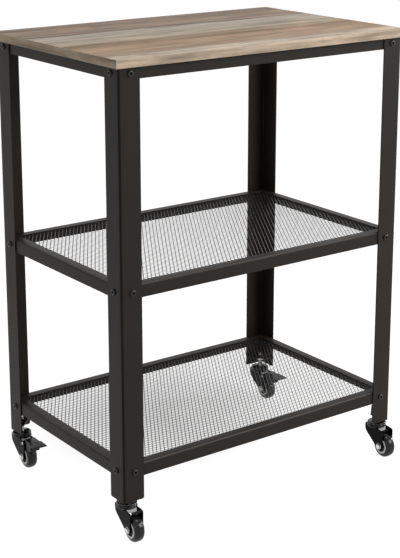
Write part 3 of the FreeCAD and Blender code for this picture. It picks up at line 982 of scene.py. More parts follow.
class MaterialLibrary:
    """Makes each material once, from its finish."""

    def __init__(self) -> None:
        """Build the shared effects and start with no material."""
        self.effects = EffectGroups()
        self._made: dict[str, bpy.types.Material] = {}

    def coated(self, finish: CoatFinish) -> bpy.types.Material:
        """Make a painted, rubber or plastic surface.

        Args:
            finish: its colour, gloss and skin.

        Returns:
            The material.
        """
        if finish.name in self._made:
            return self._made[finish.name]
        draft = MaterialDraft(finish.name)
        wiring, effects = draft.wiring, self.effects
        skin = draft.effect(effects.skin, Scale=finish.grain_scale, Height=finish.grain_height)
        patches = wiring.product(skin["Mottle"], finish.mottle_share)
        color = wiring.mix(patches, opaque(finish.color), opaque(finish.mottled))
        smoothest = finish.roughness - finish.gloss_swing / 2
        gloss = wiring.scaled(skin["Mottle"], gain=finish.gloss_swing, offset=smoothest)
        # painted shade along convex edges
        if finish.edge:
            edges = draft.effect(effects.wear_and_shade, Amount=finish.edge, Radius=finish.edge_shade_radius)
            color = wiring.mix(edges["Mask"], color, opaque(finish.edge_color))
        if finish.dust:
            dust = draft.effect(effects.dust, Amount=finish.dust)
            color = wiring.mix(dust["Mask"], color, opaque(finish.dust_color))
            gloss = wiring.scaled(dust["Mask"], gain=finish.dust_roughness, offset=gloss)
        draft.set("Base Color", color)
        draft.set("Roughness", gloss)
        draft.set("Normal", skin["Normal"])
        draft.set("Specular IOR Level", finish.specular)
        self._made[finish.name] = draft.material
        return draft.material

    def metal(self, finish: MetalFinish) -> bpy.types.Material:
        """Make a plated metal surface.

        Args:
            finish: its colour and streaks.

        Returns:
            The material.
        """
        if finish.name in self._made:
            return self._made[finish.name]
        draft = MaterialDraft(finish.name)
        streaks = draft.effect(self.effects.streaks, Scale=finish.streak_scale)
        color = draft.wiring.mix(streaks["Tone"], opaque(finish.dull), opaque(finish.color))
        draft.set("Base Color", color)
        draft.set("Roughness", streaks["Roughness"])
        draft.set("Metallic", 1.0)
        self._made[finish.name] = draft.material
        return draft.material

    def planks(self, face: PlankFace, finish: PlankFinish = PLANKS) -> bpy.types.Material:
        """Make the washed wood of the board's top or of its edge bands.

        Args:
            face: the face of the board.
            finish: its colours, gloss and relief.

        Returns:
            The material.
        """
        if face.label in self._made:
            return self._made[face.label]
        draft = MaterialDraft(face.label)
        wiring = draft.wiring
        if face.turn:
            turned_grain = wiring.node("ShaderNodeMapping")
            wiring.feed(turned_grain.inputs["Rotation"], (0.0, 0.0, math.radians(face.turn)))
            wiring.feed(turned_grain.inputs["Vector"], draft.place)
            draft.place = turned_grain.outputs[0]
        wood = draft.effect(self.effects.planks, Plank_Tones=face.tones)
        worn = draft.effect(
            self.effects.wear_and_shade, Amount=finish.worn_amount, Radius=finish.worn_radius
        )
        draft.set("Base Color", wiring.mix(worn["Mask"], wood["Color"], opaque(finish.worn)))
        draft.set("Roughness", wood["Gloss"])
        relief = wiring.bump(wood["Height"], finish.bump_strength, finish.bump_distance)
        draft.set("Normal", relief)
        draft.set("Specular IOR Level", finish.specular)
        self._made[face.label] = draft.material
        return draft.material


# Meshes


@dataclass(frozen=True)
class Column:
    """One line along a bent sheet: a point on each skin, both spans, and if it has a painted bend
    line.

    That painted line, the second material, is on the outer skin to both sides of the line: shade on
    a leg's bend, a highlight on a rail's bend.
    """

    outer: Point2
    inner: Point2
    outer_span: Point2
    inner_span: Point2
    on_bend: bool = False

    def mirrored(self) -> "Column":
        """Make the same line on the other side of the sheet's middle."""
        outer, inner = (-self.outer[0], self.outer[1]), (-self.inner[0], self.inner[1])
        return Column(outer, inner, self.outer_span, self.inner_span)


def turned(degrees: float, offset: Point3) -> Placer:
    """Make a placer that turns about Z and then moves.

    Args:
        degrees: the turn.
        offset: the move, before the cart's setback is added.

    Returns:
        The placer.
    """
    c, s = math.cos(math.radians(degrees)), math.sin(math.radians(degrees))
    ox, oy, oz = offset

    def place(x: float, y: float, z: float) -> Point3:
        """Turn and move one point."""
        return (ox + c * x - s * y, oy + CART.setback + s * x + c * y, oz + z)

    return place


def facing(out: Point2, seat: Point3) -> Placer:
    """Make a placer whose Z points out of the cart.

    Args:
        out: the direction that Z points in, along the floor.
        seat: where its zero stands, before the cart's setback is added.

    Returns:
        The placer.
    """
    (ox, oy), (sx, sy, sz) = out, seat

    def place(x: float, y: float, z: float) -> Point3:
        """Turn and move one point."""
        return (sx + ox * z - oy * x, sy + CART.setback + oy * z + ox * x, sz + y)

    return place


def shifted(place: Placer, back: float, up: float) -> Placer:
    """Make a placer whose zero stands elsewhere.

    Args:
        place: the placer to start from.
        back: how far the new zero stands toward -Y.
        up: how far it stands up.

    Returns:
        The placer.
    """

    def moved(x: float, y: float, z: float) -> Point3:
        """Move and then place one point."""
        return place(x, y - back, z + up)

    return moved


def arc(centre: Point2, radius: float, start: float, end: float, steps: int) -> list[Point2]:
    """List points on an arc.

    Args:
        centre: its centre.
        radius: its radius.
        start: its first angle in degrees.
        end: its last angle in degrees.
        steps: the number of segments.

    Returns:
        The points, both ends included.
    """
    turns = [math.radians(start + (end - start) * i / steps) for i in range(steps + 1)]
    return [(centre[0] + radius * math.cos(t), centre[1] + radius * math.sin(t)) for t in turns]


def circle(radius: float, segments: int) -> list[Point2]:
    """List the corners of a circle drawn with straight segments.

    Args:
        radius: its radius.
        segments: how many segments it has.

    Returns:
        The corners.
    """
    turns = [2 * math.pi * k / segments for k in range(segments)]
    return [(radius * math.cos(t), radius * math.sin(t)) for t in turns]


def hexagon(flats: float, start: float = 0.0) -> list[Point2]:
    """List the corners of a hexagon.

    Args:
        flats: its width across flats.
        start: the first corner's angle in degrees.

    Returns:
        The corners.
    """
    radius = flats / 2 / math.cos(math.pi / HEXAGON)
    turns = [math.radians(start + 360 * i / HEXAGON) for i in range(HEXAGON)]
    return [(radius * math.cos(t), radius * math.sin(t)) for t in turns]


class Solid:
    """Collects vertices and faces in millimetres and turns them into one object."""

    def __init__(self, name: str) -> None:
        """Start an empty solid.

        Args:
            name: the name of its piece.
        """
        self.name = name
        self.points: list[Point3] = []
        self.faces: list[Face] = []
        self.face_slots: list[int] = []

    def add(
        self,
        points: Iterable[Point3],
        faces: Iterable[Face],
        slot: int = 0,
        bend: Iterable[Face] = (),
    ) -> None:
        """Add a piece of mesh.

        Args:
            points: its vertices.
            faces: its faces, counted from its own first vertex.
            slot: the material number of these faces.
            bend: faces that take the second material: painted shade along a leg's bend and in a
                bolt's socket, a painted highlight along a rail's bend.
        """
        start = len(self.points)
        self.points.extend(points)
        for group, number in ((faces, slot), (bend, 1)):
            for corners in group:
                self.faces.append(tuple(start + i for i in corners))
                self.face_slots.append(number)

    def join_rings(self, rings: Sequence[Sequence[Point3]], slot: int = 0) -> None:
        """Add a closed form between two rings.

        Args:
            rings: the two rings, with the same number of corners.
            slot: the material number.
        """
        first, second = rings
        count = len(first)
        faces: list[Face] = [tuple(range(count)), tuple(range(2 * count - 1, count - 1, -1))]
        for i in range(count):
            j = (i + 1) % count
            faces.append((i, j, count + j, count + i))
        self.add([*first, *second], faces, slot)

    def prism(
        self,
        outline: Sequence[Point2],
        ends: Point2,
        place: Placer,
        axis: Axis = Axis.Z,
        slot: int = 0,
    ) -> None:
        """Extrude an outline.

        Args:
            outline: its corners: (x, y) for axis Z, (y, z) for axis X.
            ends: where it starts and ends along the axis.
            place: its placer.
            axis: the axis that it is drawn along.
            slot: the material number.
        """
        rings = [[place(*axis.point(a, b, along)) for a, b in outline] for along in ends]
        self.join_rings(rings, slot)

    def lathe(
        self,
        profile: Sequence[Point2],
        segments: int,
        place: Placer,
        axis: Axis = Axis.Z,
        closed: bool = False,
    ) -> None:
        """Turn a profile about an axis.

        Args:
            profile: (radius, distance along the axis) points.
            segments: the number of steps round.
            place: its placer.
            axis: the axis that it turns about.
            closed: whether the profile's last point joins its first.
        """
        points: list[Point3] = []
        for radius, along in profile:
            points += [place(*axis.point(u, v, along)) for u, v in circle(radius, segments)]
        last = len(profile) - 1
        pairs = list(zip(range(last), range(1, last + 1)))
        if closed:
            pairs.append((last, 0))
        faces: list[Face] = []
        for i, j in pairs:
            a, b = i * segments, j * segments
            for k in range(segments):
                n = (k + 1) % segments
                faces.append((a + k, a + n, b + n, b + k))
        if not closed:
            open_ends = [i for i in (0, last) if profile[i][0] > ON_AXIS]
            faces += [tuple(i * segments + k for k in range(segments)) for i in open_ends]
        self.add(points, faces)

    def bent_sheet(
        self, columns: Sequence[Column], rows: int, place: Placer, along: Axis
    ) -> None:
        """Add a closed sheet that follows its columns.

        Args:
            columns: its lines, from one free edge to the other.
            rows: how many steps it has along its length.
            place: its placer.
            along: the axis that its lines run along.
        """
        points: list[Point3] = []
        for column in columns:
            skins = ((column.outer, column.outer_span), (column.inner, column.inner_span))
            for (u, v), (start, end) in skins:
                for j in range(rows + 1):
                    points.append(place(*along.point(u, v, start + (end - start) * j / rows)))
        stride = rows + 1
        faces: list[Face] = []
        bend_faces: list[Face] = []
        last = len(columns) - 1
        for i in range(last):
            a, b = i * 2 * stride, (i + 1) * 2 * stride
            # faces beside a bend line take the second material: painted shade on a leg, a painted
            # highlight on a rail
            skin = bend_faces if columns[i].on_bend or columns[i + 1].on_bend else faces
            for j in range(rows):
                skin.append((a + j, b + j, b + j + 1, a + j + 1))
                c, d = a + stride + j, b + stride + j
                faces.append((c, c + 1, d + 1, d))
            faces.append((a, a + stride, b + stride, b))
            faces.append((a + rows, b + rows, b + stride + rows, a + stride + rows))
        for i, flip in ((0, False), (last, True)):
            a = i * 2 * stride
            for j in range(rows):
                corners = (a + j, a + j + 1, a + stride + j + 1, a + stride + j)
                faces.append(tuple(reversed(corners)) if flip else corners)
        self.add(points, faces, bend=bend_faces)

    def finish(
        self, materials: Sequence[bpy.types.Material], smooth_angle: float = 35.0
    ) -> bpy.types.Object:
        """Make the object.

        Args:
            materials: its materials, in the order of the face slots.
            smooth_angle: edges sharper than this stay sharp.

        Returns:
            The new object, linked to the scene.
        """
        data = bpy.data.meshes.new(self.name)
        data.from_pydata([(x * MM, y * MM, z * MM) for x, y, z in self.points], [], self.faces)
        for material in materials:
            data.materials.append(material)
        for polygon, slot in zip(data.polygons, self.face_slots):
            polygon.material_index = slot
        work = bmesh.new()
        work.from_mesh(data)
        bmesh.ops.remove_doubles(work, verts=work.verts, dist=MERGE_DISTANCE)
        bmesh.ops.recalc_face_normals(work, faces=work.faces)
        limit = math.radians(smooth_angle)
        for face in work.faces:
            face.smooth = True
        for edge in work.edges:
            edge.smooth = len(edge.link_faces) == 2 and edge.calc_face_angle(0.0) < limit
        work.to_mesh(data)
        work.free()
        made = bpy.data.objects.new(self.name, data)
        bpy.context.scene.collection.objects.link(made)
        return made


def soften(
    made: bpy.types.Object, width: float, segments: int = 2, angle: float = 35.0
) -> bpy.types.Object:
    """Round an object's sharp edges a little.

    Args:
        made: the object.
        width: the bevel's width in millimetres.
        segments: its segments.
        angle: the least angle between faces that is rounded.

    Returns:
        The same object.
    """
    bevel = made.modifiers.new("soft edges", "BEVEL")
    bevel.width = width * MM
    bevel.segments = segments
    bevel.limit_method = "ANGLE"
    bevel.angle_limit = math.radians(angle)
    bevel.use_clamp_overlap = True
    bevel.harden_normals = True
    return made


# Sub-assemblies


@dataclass
class Assembly:
    """Base of the sub-assemblies: makes pieces and ties them to the frame."""

    materials: MaterialLibrary
    pieces: list[bpy.types.Object] = field(default_factory=list, init=False)

    def build(self) -> None:
        """Make the pieces."""
        raise NotImplementedError

    def tie(self, made: bpy.types.Object, body: str, slot: Slot, *nodes: str) -> None:
        """Make a piece ride on a body, in place of CAD nodes.

        Args:
            made: the piece.
            body: the body that it rides on.
            slot: its material slot; not used.
            nodes: the CAD nodes that it replaces.
        """
        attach(made, body)
        if nodes:
            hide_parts(*nodes)
        self.pieces.append(made)


@dataclass
class Tabletop(Assembly):
    """The board with its planks, its edge bands and the screws under it.

    A band's roundings are (inward, up) points from the board's underside and from its top.
    """

    band: float = 0.8
    lower_round: Sequence[Point2] = ((0.0, 0.3), (0.1, 0.1), (0.3, 0.0))
    upper_round: Sequence[Point2] = ((0.45, -0.05), (0.2, -0.2), (0.05, -0.45))
    band_smooth: float = 50
    screw_x: float = 150
    screw_head: Sequence[Point2] = (
        (4.5, 0.0), (4.4, -0.6), (3.9, -1.4), (3.0, -1.9), (1.6, -2.0), (1.2, -1.0), (0.0, -0.9)
    )
    screw_shank: Sequence[Point2] = ((1.9, 0.0), (1.9, 8.5), (0.3, 10.5))
    head_segments: int = 24
    shank_segments: int = 16

    def build(self) -> None:
        """Make the board, its four bands and the screws."""
        self.build_board()
        for side in Side:
            self.build_band(side)
        self.build_screws()

    def build_board(self) -> None:
        """Make the board inside its bands."""
        wood = self.materials.planks(PlankFace.TOP)
        x, y = CART.length / 2 - self.band, CART.depth / 2 - self.band
        board = Solid("board")
        outline = [(-x, -y), (x, -y), (x, y), (-x, y)]
        board.prism(outline, (CART.underside, CART.height), turned(0, (0, 0, 0)))
        self.tie(board.finish([wood]), FRAME_BODY, Slot.WOOD, "tabletop")

    def build_band(self, side: Side) -> None:
        """Make the mitred band along one side, rounded over at its top and bottom.

        Args:
            side: the side of the cart.
        """
        face = PlankFace.LONG_EDGE if side.is_long else PlankFace.SHORT_EDGE
        half, out = CART.length / 2, CART.depth / 2
        if not side.is_long:
            half, out = out, half
        low, high = CART.underside, CART.height
        section = [(inward, low + up) for inward, up in self.lower_round]
        section += [(self.band, low), (self.band, high)]
        section += [(inward, high + up) for inward, up in self.upper_round]
        place = turned(side.turn, (0, 0, 0))
        strip = Solid("edge_band_" + side.label)
        strip.join_rings(
            [
                [place(end * (half - inward), -out + inward, z) for inward, z in section]
                for end in (-1, 1)
            ]
        )
        made = strip.finish([self.materials.planks(face)], self.band_smooth)
        self.tie(made, FRAME_BODY, Slot.WOOD)

    def build_screws(self) -> None:
        """Make the four pan-head screws below the top rails."""
        solid = Solid("board_screws")
        seat = CART.underside - CART.sheet
        depth = CART.rail_y - CART.rail_flange / 2
        for x in (-self.screw_x, self.screw_x):
            for y in (-depth, depth):
                place = turned(0, (x, y, seat))
                solid.lathe(self.screw_head, self.head_segments, place)
                solid.lathe(self.screw_shank, self.shank_segments, place)
        zinc = self.materials.metal(ZINC_PLATE)
        self.tie(solid.finish([zinc]), FRAME_BODY, Slot.ZINC, "tabletop_screws")


@dataclass
class Legs(Assembly):
    """The four angle legs with the plates and nuts in their feet."""

    flange: float = 40
    bend: float = 3
    bend_segments: int = 8
    foot_round: float = 3
    edge_steps: Sequence[float] = (0.0, 0.12, 0.45, 0.9, 1.5, 2.2, 3.0, 10.0, 20.0, 30.0)
    rows: int = 6
    soft_edge: float = 0.35
    plate_height: float = 82
    plate_sheet: float = 3
    plate_reach: float = 36
    plate_tip: Point2 = (3, 6)
    plate_soft_edge: float = 0.3
    nut: Sequence[Point2] = ((4.3, 3.0), (6.8, 3.0), (7.2, 4.2), (6.8, 5.4), (4.3, 5.4))
    nut_segments: int = 24

    def span(self, from_edge: float) -> Point2:
        """Find where a line of the leg starts and ends, with the foot's corner rounded.

        Args:
            from_edge: how far the line is from the flange's free edge.

        Returns:
            Its lowest and highest height.
        """
        rest = max(self.foot_round - from_edge, 0.0)
        lift = self.foot_round - math.sqrt(self.foot_round**2 - rest**2)
        return (CART.leg_bottom + lift, CART.underside)

    def columns(self) -> list[Column]:
        """List the lines of one leg, its corner at the origin, its flanges along +X and +Y.

        Returns:
            The columns from one free edge to the other.
        """
        steps = [*self.edge_steps, self.flange - self.bend]
        lines: list[Column] = []
        for step in steps:
            x, span = self.flange - step, self.span(step)
            lines.append(Column((x, 0.0), (x, CART.sheet), span, span))
        centre = (self.bend, self.bend)
        outer = arc(centre, self.bend, 270, 180, self.bend_segments)
        inner = arc(centre, self.bend - CART.sheet, 270, 180, self.bend_segments)
        whole = (CART.leg_bottom, CART.underside)
        # the bend's faces take the painted shade line
        for o, i in list(zip(outer, inner))[1:-1]:
            lines.append(Column(o, i, whole, whole, on_bend=True))
        for step in reversed(steps):
            y, span = self.flange - step, self.span(step)
            lines.append(Column((0.0, y), (CART.sheet, y), span, span))
        return lines

    def build(self) -> None:
        """Make the legs and the plates in their feet."""
        for corner in Corner:
            self.build_leg(corner)
        self.build_plates()

    def build_leg(self, corner: Corner) -> None:
        """Make one leg.

        Args:
            corner: the leg's corner.
        """
        solid = Solid("leg_angle_" + corner.label)
        place = turned(corner.turn, corner.signed(CART.leg_x, CART.leg_y, 0))
        solid.bent_sheet(self.columns(), self.rows, place, along=Axis.Z)
        # the second coat paints shade along the outer bend
        coats = [self.materials.coated(POWDER), self.materials.coated(LEG_BEND_SHADE)]
        made = soften(solid.finish(coats), self.soft_edge)
        self.tie(made, FRAME_BODY, Slot.STEEL, "leg_" + corner.label)

    def build_plates(self) -> None:
        """Make the plates that take the caster stems, each a triangle with blunt tips."""
        near = CART.sheet - (CART.leg_x - CART.swivel_x)
        far = near + self.plate_reach
        blunt, side = self.plate_tip
        outline = [(near, near), (far - blunt, near), (far, near + blunt), (far, near + side)]
        outline += [(near + side, far), (near + blunt, far), (near, far - blunt)]
        plates = Solid("foot_plates")
        for corner in Corner:
            seat = corner.signed(CART.swivel_x, CART.swivel_y, self.plate_height)
            place = turned(corner.turn, seat)
            plates.prism(outline, (0, self.plate_sheet), place)
            plates.lathe(self.nut, self.nut_segments, place, closed=True)
        steel = self.materials.coated(POWDER)
        made = soften(plates.finish([steel]), self.plate_soft_edge)
        self.tie(made, FRAME_BODY, Slot.STEEL, "socket_plates")


@dataclass
class Rails(Assembly):
    """The twelve mitred rails."""

    bend: float = 3.5
    bend_segments: int = 8
    flat_shares: Sequence[float] = (0.0, 0.5, 1.0)
    rows: int = 8
    soft_edge: float = 0.3

    def columns(self, level: Level, half: float, out: float) -> list[Column]:
        """List the lines of one rail, whose section starts at its outer top corner.

        Args:
            level: its level, which sets its wall.
            half: half its length.
            out: how far its outer face is from the cart's middle.

        Returns:
            The columns from the wall's free edge to the flange's.
        """
        wall, flange, bend, sheet = CART.rail_walls[level], CART.rail_flange, self.bend, CART.sheet

        def line(outer: Point2, inner: Point2, on_bend: bool = False) -> Column:
            """Make a line whose ends are mitred by how far inward it is.

            Args:
                outer: its (inward, up) place on the outer face.
                inner: its (inward, up) place on the inner face.
                on_bend: whether the faces beside it take the painted highlight.

            Returns:
                The column.
            """
            (u, v), (w, z) = outer, inner
            spans = (u - half, half - u), (w - half, half - w)
            return Column((u - out, v), (w - out, z), *spans, on_bend=on_bend)

        lines: list[Column] = []
        for share in self.flat_shares:
            up = -wall + share * (wall - bend)
            lines.append(line((0.0, up), (sheet, up)))
        outer = arc((bend, -bend), bend, 180, 90, self.bend_segments)
        inner = arc((bend, -bend), bend - sheet, 180, 90, self.bend_segments)
        turn = list(zip(outer, inner))[1:-1]
        # painted highlight: the faces beside the line past the bend's middle take a light colour
        painted_highlight_line = len(turn) // 2 + 1
        lines += [line(o, i, on_bend=k == painted_highlight_line) for k, (o, i) in enumerate(turn)]
        for share in self.flat_shares:
            inward = bend + share * (flange - bend)
            lines.append(line((inward, 0.0), (inward, -sheet)))
        return lines

    def build(self) -> None:
        """Make all the rails."""
        for level in Level:
            for side in Side:
                self.build_rail(level, side)

    def build_rail(self, level: Level, side: Side) -> None:
        """Make one rail.

        Args:
            level: its level.
            side: its side of the cart.
        """
        half, out = CART.rail_x, CART.rail_y
        if not side.is_long:
            half, out = out, half
        solid = Solid("%s_angle_%s" % (level.value, side.label))
        place = turned(side.turn, (0, 0, CART.levels[level]))
        solid.bent_sheet(self.columns(level, half, out), self.rows, place, along=Axis.X)
        # the second coat paints a highlight along the outer bend
        coats = [self.materials.coated(POWDER), self.materials.coated(RAIL_BEND_HIGHLIGHT)]
        made = soften(solid.finish(coats), self.soft_edge)
        self.tie(made, FRAME_BODY, Slot.STEEL, "%s_rail_%s" % (level.value, side.label))


@dataclass(frozen=True)
class StrandFamily:
    """The strands that lean one way: their lean along X, their width and how low they lie."""

    lean: float
    width: float
    drop: float


@dataclass
class MeshShelves(Assembly):
    """The two expanded-mesh panels: two families of strands that cross in diamonds."""

    half_x: float = 291
    half_y: float = 186
    pitch: float = 7.75
    families: Sequence[StrandFamily] = (
        StrandFamily(lean=0.63, width=1.3, drop=0.0),
        StrandFamily(lean=-0.565, width=1.8, drop=0.06),
    )
    thickness: float = 0.7
    tilt: float = 18.0
    edge_drop: float = 0.1
    edge_inset: float = 0.12
    foot_inset: float = 0.2
    shortest: float = 0.02
    below_level: float = 2
    smooth: float = 25

    def ends(self, x: float, lean: float) -> Optional[tuple[Point2, Point2]]:
        """Cut a leaning line to the panel.

        Args:
            x: where it passes the panel's middle.
            lean: how far it goes along X for each step along Y.

        Returns:
            The two ends, or None if the line misses the panel.
        """
        low, high = -math.inf, math.inf
        for start, step, limit in ((x, lean, self.half_x), (0.0, 1.0, self.half_y)):
            a, b = (-limit - start) / step, (limit - start) / step
            low, high = max(low, min(a, b)), min(high, max(a, b))
        if high - low < self.shortest:
            return None
        return (x + lean * low, low), (x + lean * high, high)

    def section(self, width: float) -> list[Point2]:
        """Draw the section of a strand, tilted as the slit and stretched sheet leaves it.

        Args:
            width: the strand's width.

        Returns:
            Its corners, none of them above zero.
        """
        half, thick = width / 2, self.thickness
        edge, inset, foot = self.edge_drop, self.edge_inset, self.foot_inset
        flat = [(-half, -edge - thick / 2), (-half, -edge), (-half + inset, 0.0)]
        flat += [(half - inset, 0.0), (half, -edge), (half, -thick)]
        flat += [(half - foot, -thick), (-half + foot, -thick)]
        slope = math.tan(math.radians(self.tilt))
        return [(a, min(0.0, -half * slope + b - a * slope)) for a, b in flat]

    def add_strands(self, solid: Solid, family: StrandFamily, place: Placer) -> None:
        """Add every strand of a family.

        Args:
            solid: where they are added.
            family: their lean, width and drop.
            place: its placer, with zero at the panel's top.
        """
        lean, drop = family.lean, family.drop
        length = math.hypot(lean, 1.0)
        nx, ny = 1.0 / length, -lean / length
        section = self.section(family.width)
        count = int((self.half_x + self.half_y * abs(lean)) / self.pitch) + 1
        for k in range(-count, count + 1):
            rings = [
                [place(ex + nx * a, ey + ny * a, b - drop) for a, b in section]
                for ex, ey in self.ends(k * self.pitch, lean) or ()
            ]
            if rings:
                solid.join_rings(rings)

    def build(self) -> None:
        """Make both panels."""
        coat = self.materials.coated(MESH_COAT)
        for level in (Level.MIDDLE, Level.BOTTOM):
            panel = Solid("%s_expanded_mesh" % level.value)
            place = turned(0, (0, 0, CART.levels[level] - self.below_level))
            for family in self.families:
                self.add_strands(panel, family, place)
            made = panel.finish([coat], self.smooth)
            self.tie(made, FRAME_BODY, Slot.MESH, "%s_mesh" % level.value)


@dataclass
class FrameBolts(Assembly):
    """The button-head bolts with hex sockets through the legs and rails."""

    from_corner: float = 22
    head_radius: float = 5.5
    head_height: float = 3
    seat_share: float = 0.97
    seat_height: float = 0.15
    rim: float = 0.7
    crown_flat: float = 3.1
    dome_steps: int = 6
    socket_flats: float = 4
    socket_depth: float = 1.7
    socket_point: float = 0.5
    chamfer_grow: float = 1.06
    chamfer_depth: float = 0.15
    shank: Sequence[Point2] = ((2.9, 0.0), (2.9, -11.4), (2.3, -12.0))
    segments: int = 36
    shank_segments: int = 18
    smooth: float = 40

    def dome(self) -> list[Point2]:
        """List the head's profile from its seat to its flat crown.

        Returns:
            (radius, height) points.
        """
        radius, flat, rim = self.head_radius, self.crown_flat, self.rim
        profile = [(radius * self.seat_share, 0.0), (radius, self.seat_height), (radius, rim)]
        for i in range(1, self.dome_steps + 1):
            t = math.radians(90 * i / self.dome_steps)
            across = flat + (radius - flat) * math.cos(t)
            profile.append((across, rim + (self.head_height - rim) * math.sin(t)))
        return profile

    def socket_ring(self, grow: float, z: float) -> list[Point3]:
        """List the corners of the socket's hexagon, with as many points as the head has.

        Args:
            grow: its size, as a share of the socket's.
            z: its height.

        Returns:
            The points.
        """
        ring: list[Point3] = []
        for k in range(self.segments):
            t = 2 * math.pi * k / self.segments
            from_flat = t % (2 * math.pi / HEXAGON) - math.pi / HEXAGON
            r = self.socket_flats / 2 * grow / math.cos(from_flat)
            ring.append((r * math.cos(t), r * math.sin(t), z))
        return ring

    def add_bolt(self, solid: Solid, place: Placer) -> None:
        """Add one bolt, its head's seat at zero and its head toward +Z.

        Args:
            solid: where it is added.
            place: its placer.
        """
        top, segments = self.head_height, self.segments
        dome = self.dome()
        rings = [[(x, y, z) for x, y in circle(r, segments)] for r, z in dome]
        rings.append(self.socket_ring(self.chamfer_grow, top))
        rings.append(self.socket_ring(1.0, top - self.chamfer_depth))
        rings.append(self.socket_ring(1.0, top - self.socket_depth))
        points = [place(*p) for ring in rings for p in ring]
        points.append(place(0, 0, top - self.socket_depth - self.socket_point))
        faces: list[Face] = []
        socket: list[Face] = []
        for i in range(len(rings) - 1):
            # the socket's faces take the second coat, painted shade
            skin = socket if i >= len(dome) else faces
            a, b = i * segments, (i + 1) * segments
            for k in range(segments):
                n = (k + 1) % segments
                skin.append((a + k, a + n, b + n, b + k))
        last = (len(rings) - 1) * segments
        tip = len(points) - 1
        socket += [(last + k, last + (k + 1) % segments, tip) for k in range(segments)]
        faces.append(tuple(range(segments - 1, -1, -1)))
        solid.add(points, faces, bend=socket)
        solid.lathe(self.shank, self.shank_segments, place)

    def build(self) -> None:
        """Make the bolts of each level, two at each corner."""
        # the second coat paints shade in the hex sockets
        coats = [self.materials.coated(BLACK_OXIDE), self.materials.coated(SOCKET_SHADE)]
        in_x, in_y = CART.leg_x - self.from_corner, CART.leg_y - self.from_corner
        for level in Level:
            solid = Solid("%s_button_bolts" % level.value)
            height = CART.levels[level] - CART.rail_walls[level] / 2
            for corner in Corner:
                along_y = facing((0, corner.side_y), corner.signed(in_x, CART.leg_y, height))
                along_x = facing((corner.side_x, 0), corner.signed(CART.leg_x, in_y, height))
                self.add_bolt(solid, along_y)
                self.add_bolt(solid, along_x)
            made = solid.finish(coats, self.smooth)
            self.tie(made, FRAME_BODY, Slot.BOLTS, "%s_bolts" % level.value)


@dataclass(frozen=True)
class Roll:
    """A rolled edge of a pressed ring: how far in and up it is, its radius and its turn."""

    inward: float
    up: float
    radius: float
    start: float
    end: float
    steps: int = 7

    def points(self, rim: float, low: float) -> list[Point2]:
        """List its points on a ring with this rim radius and this lowest height."""
        centre = (rim - self.inward, low + self.up)
        return arc(centre, self.radius, self.start, self.end, self.steps)


@dataclass
class CasterPart(Assembly):
    """Base of a caster's parts: its corner, and a placer with zero under the stem."""

    corner: Corner
    place: Placer

    @property
    def about_axle(self) -> Placer:
        """The placer with zero on the axle."""
        return shifted(self.place, CASTER.trail, CASTER.wheel_radius)

    def named(self, label: str) -> str:
        """Add the corner's name to a piece's or a node's."""
        return "%s_%s" % (label, self.corner.label)


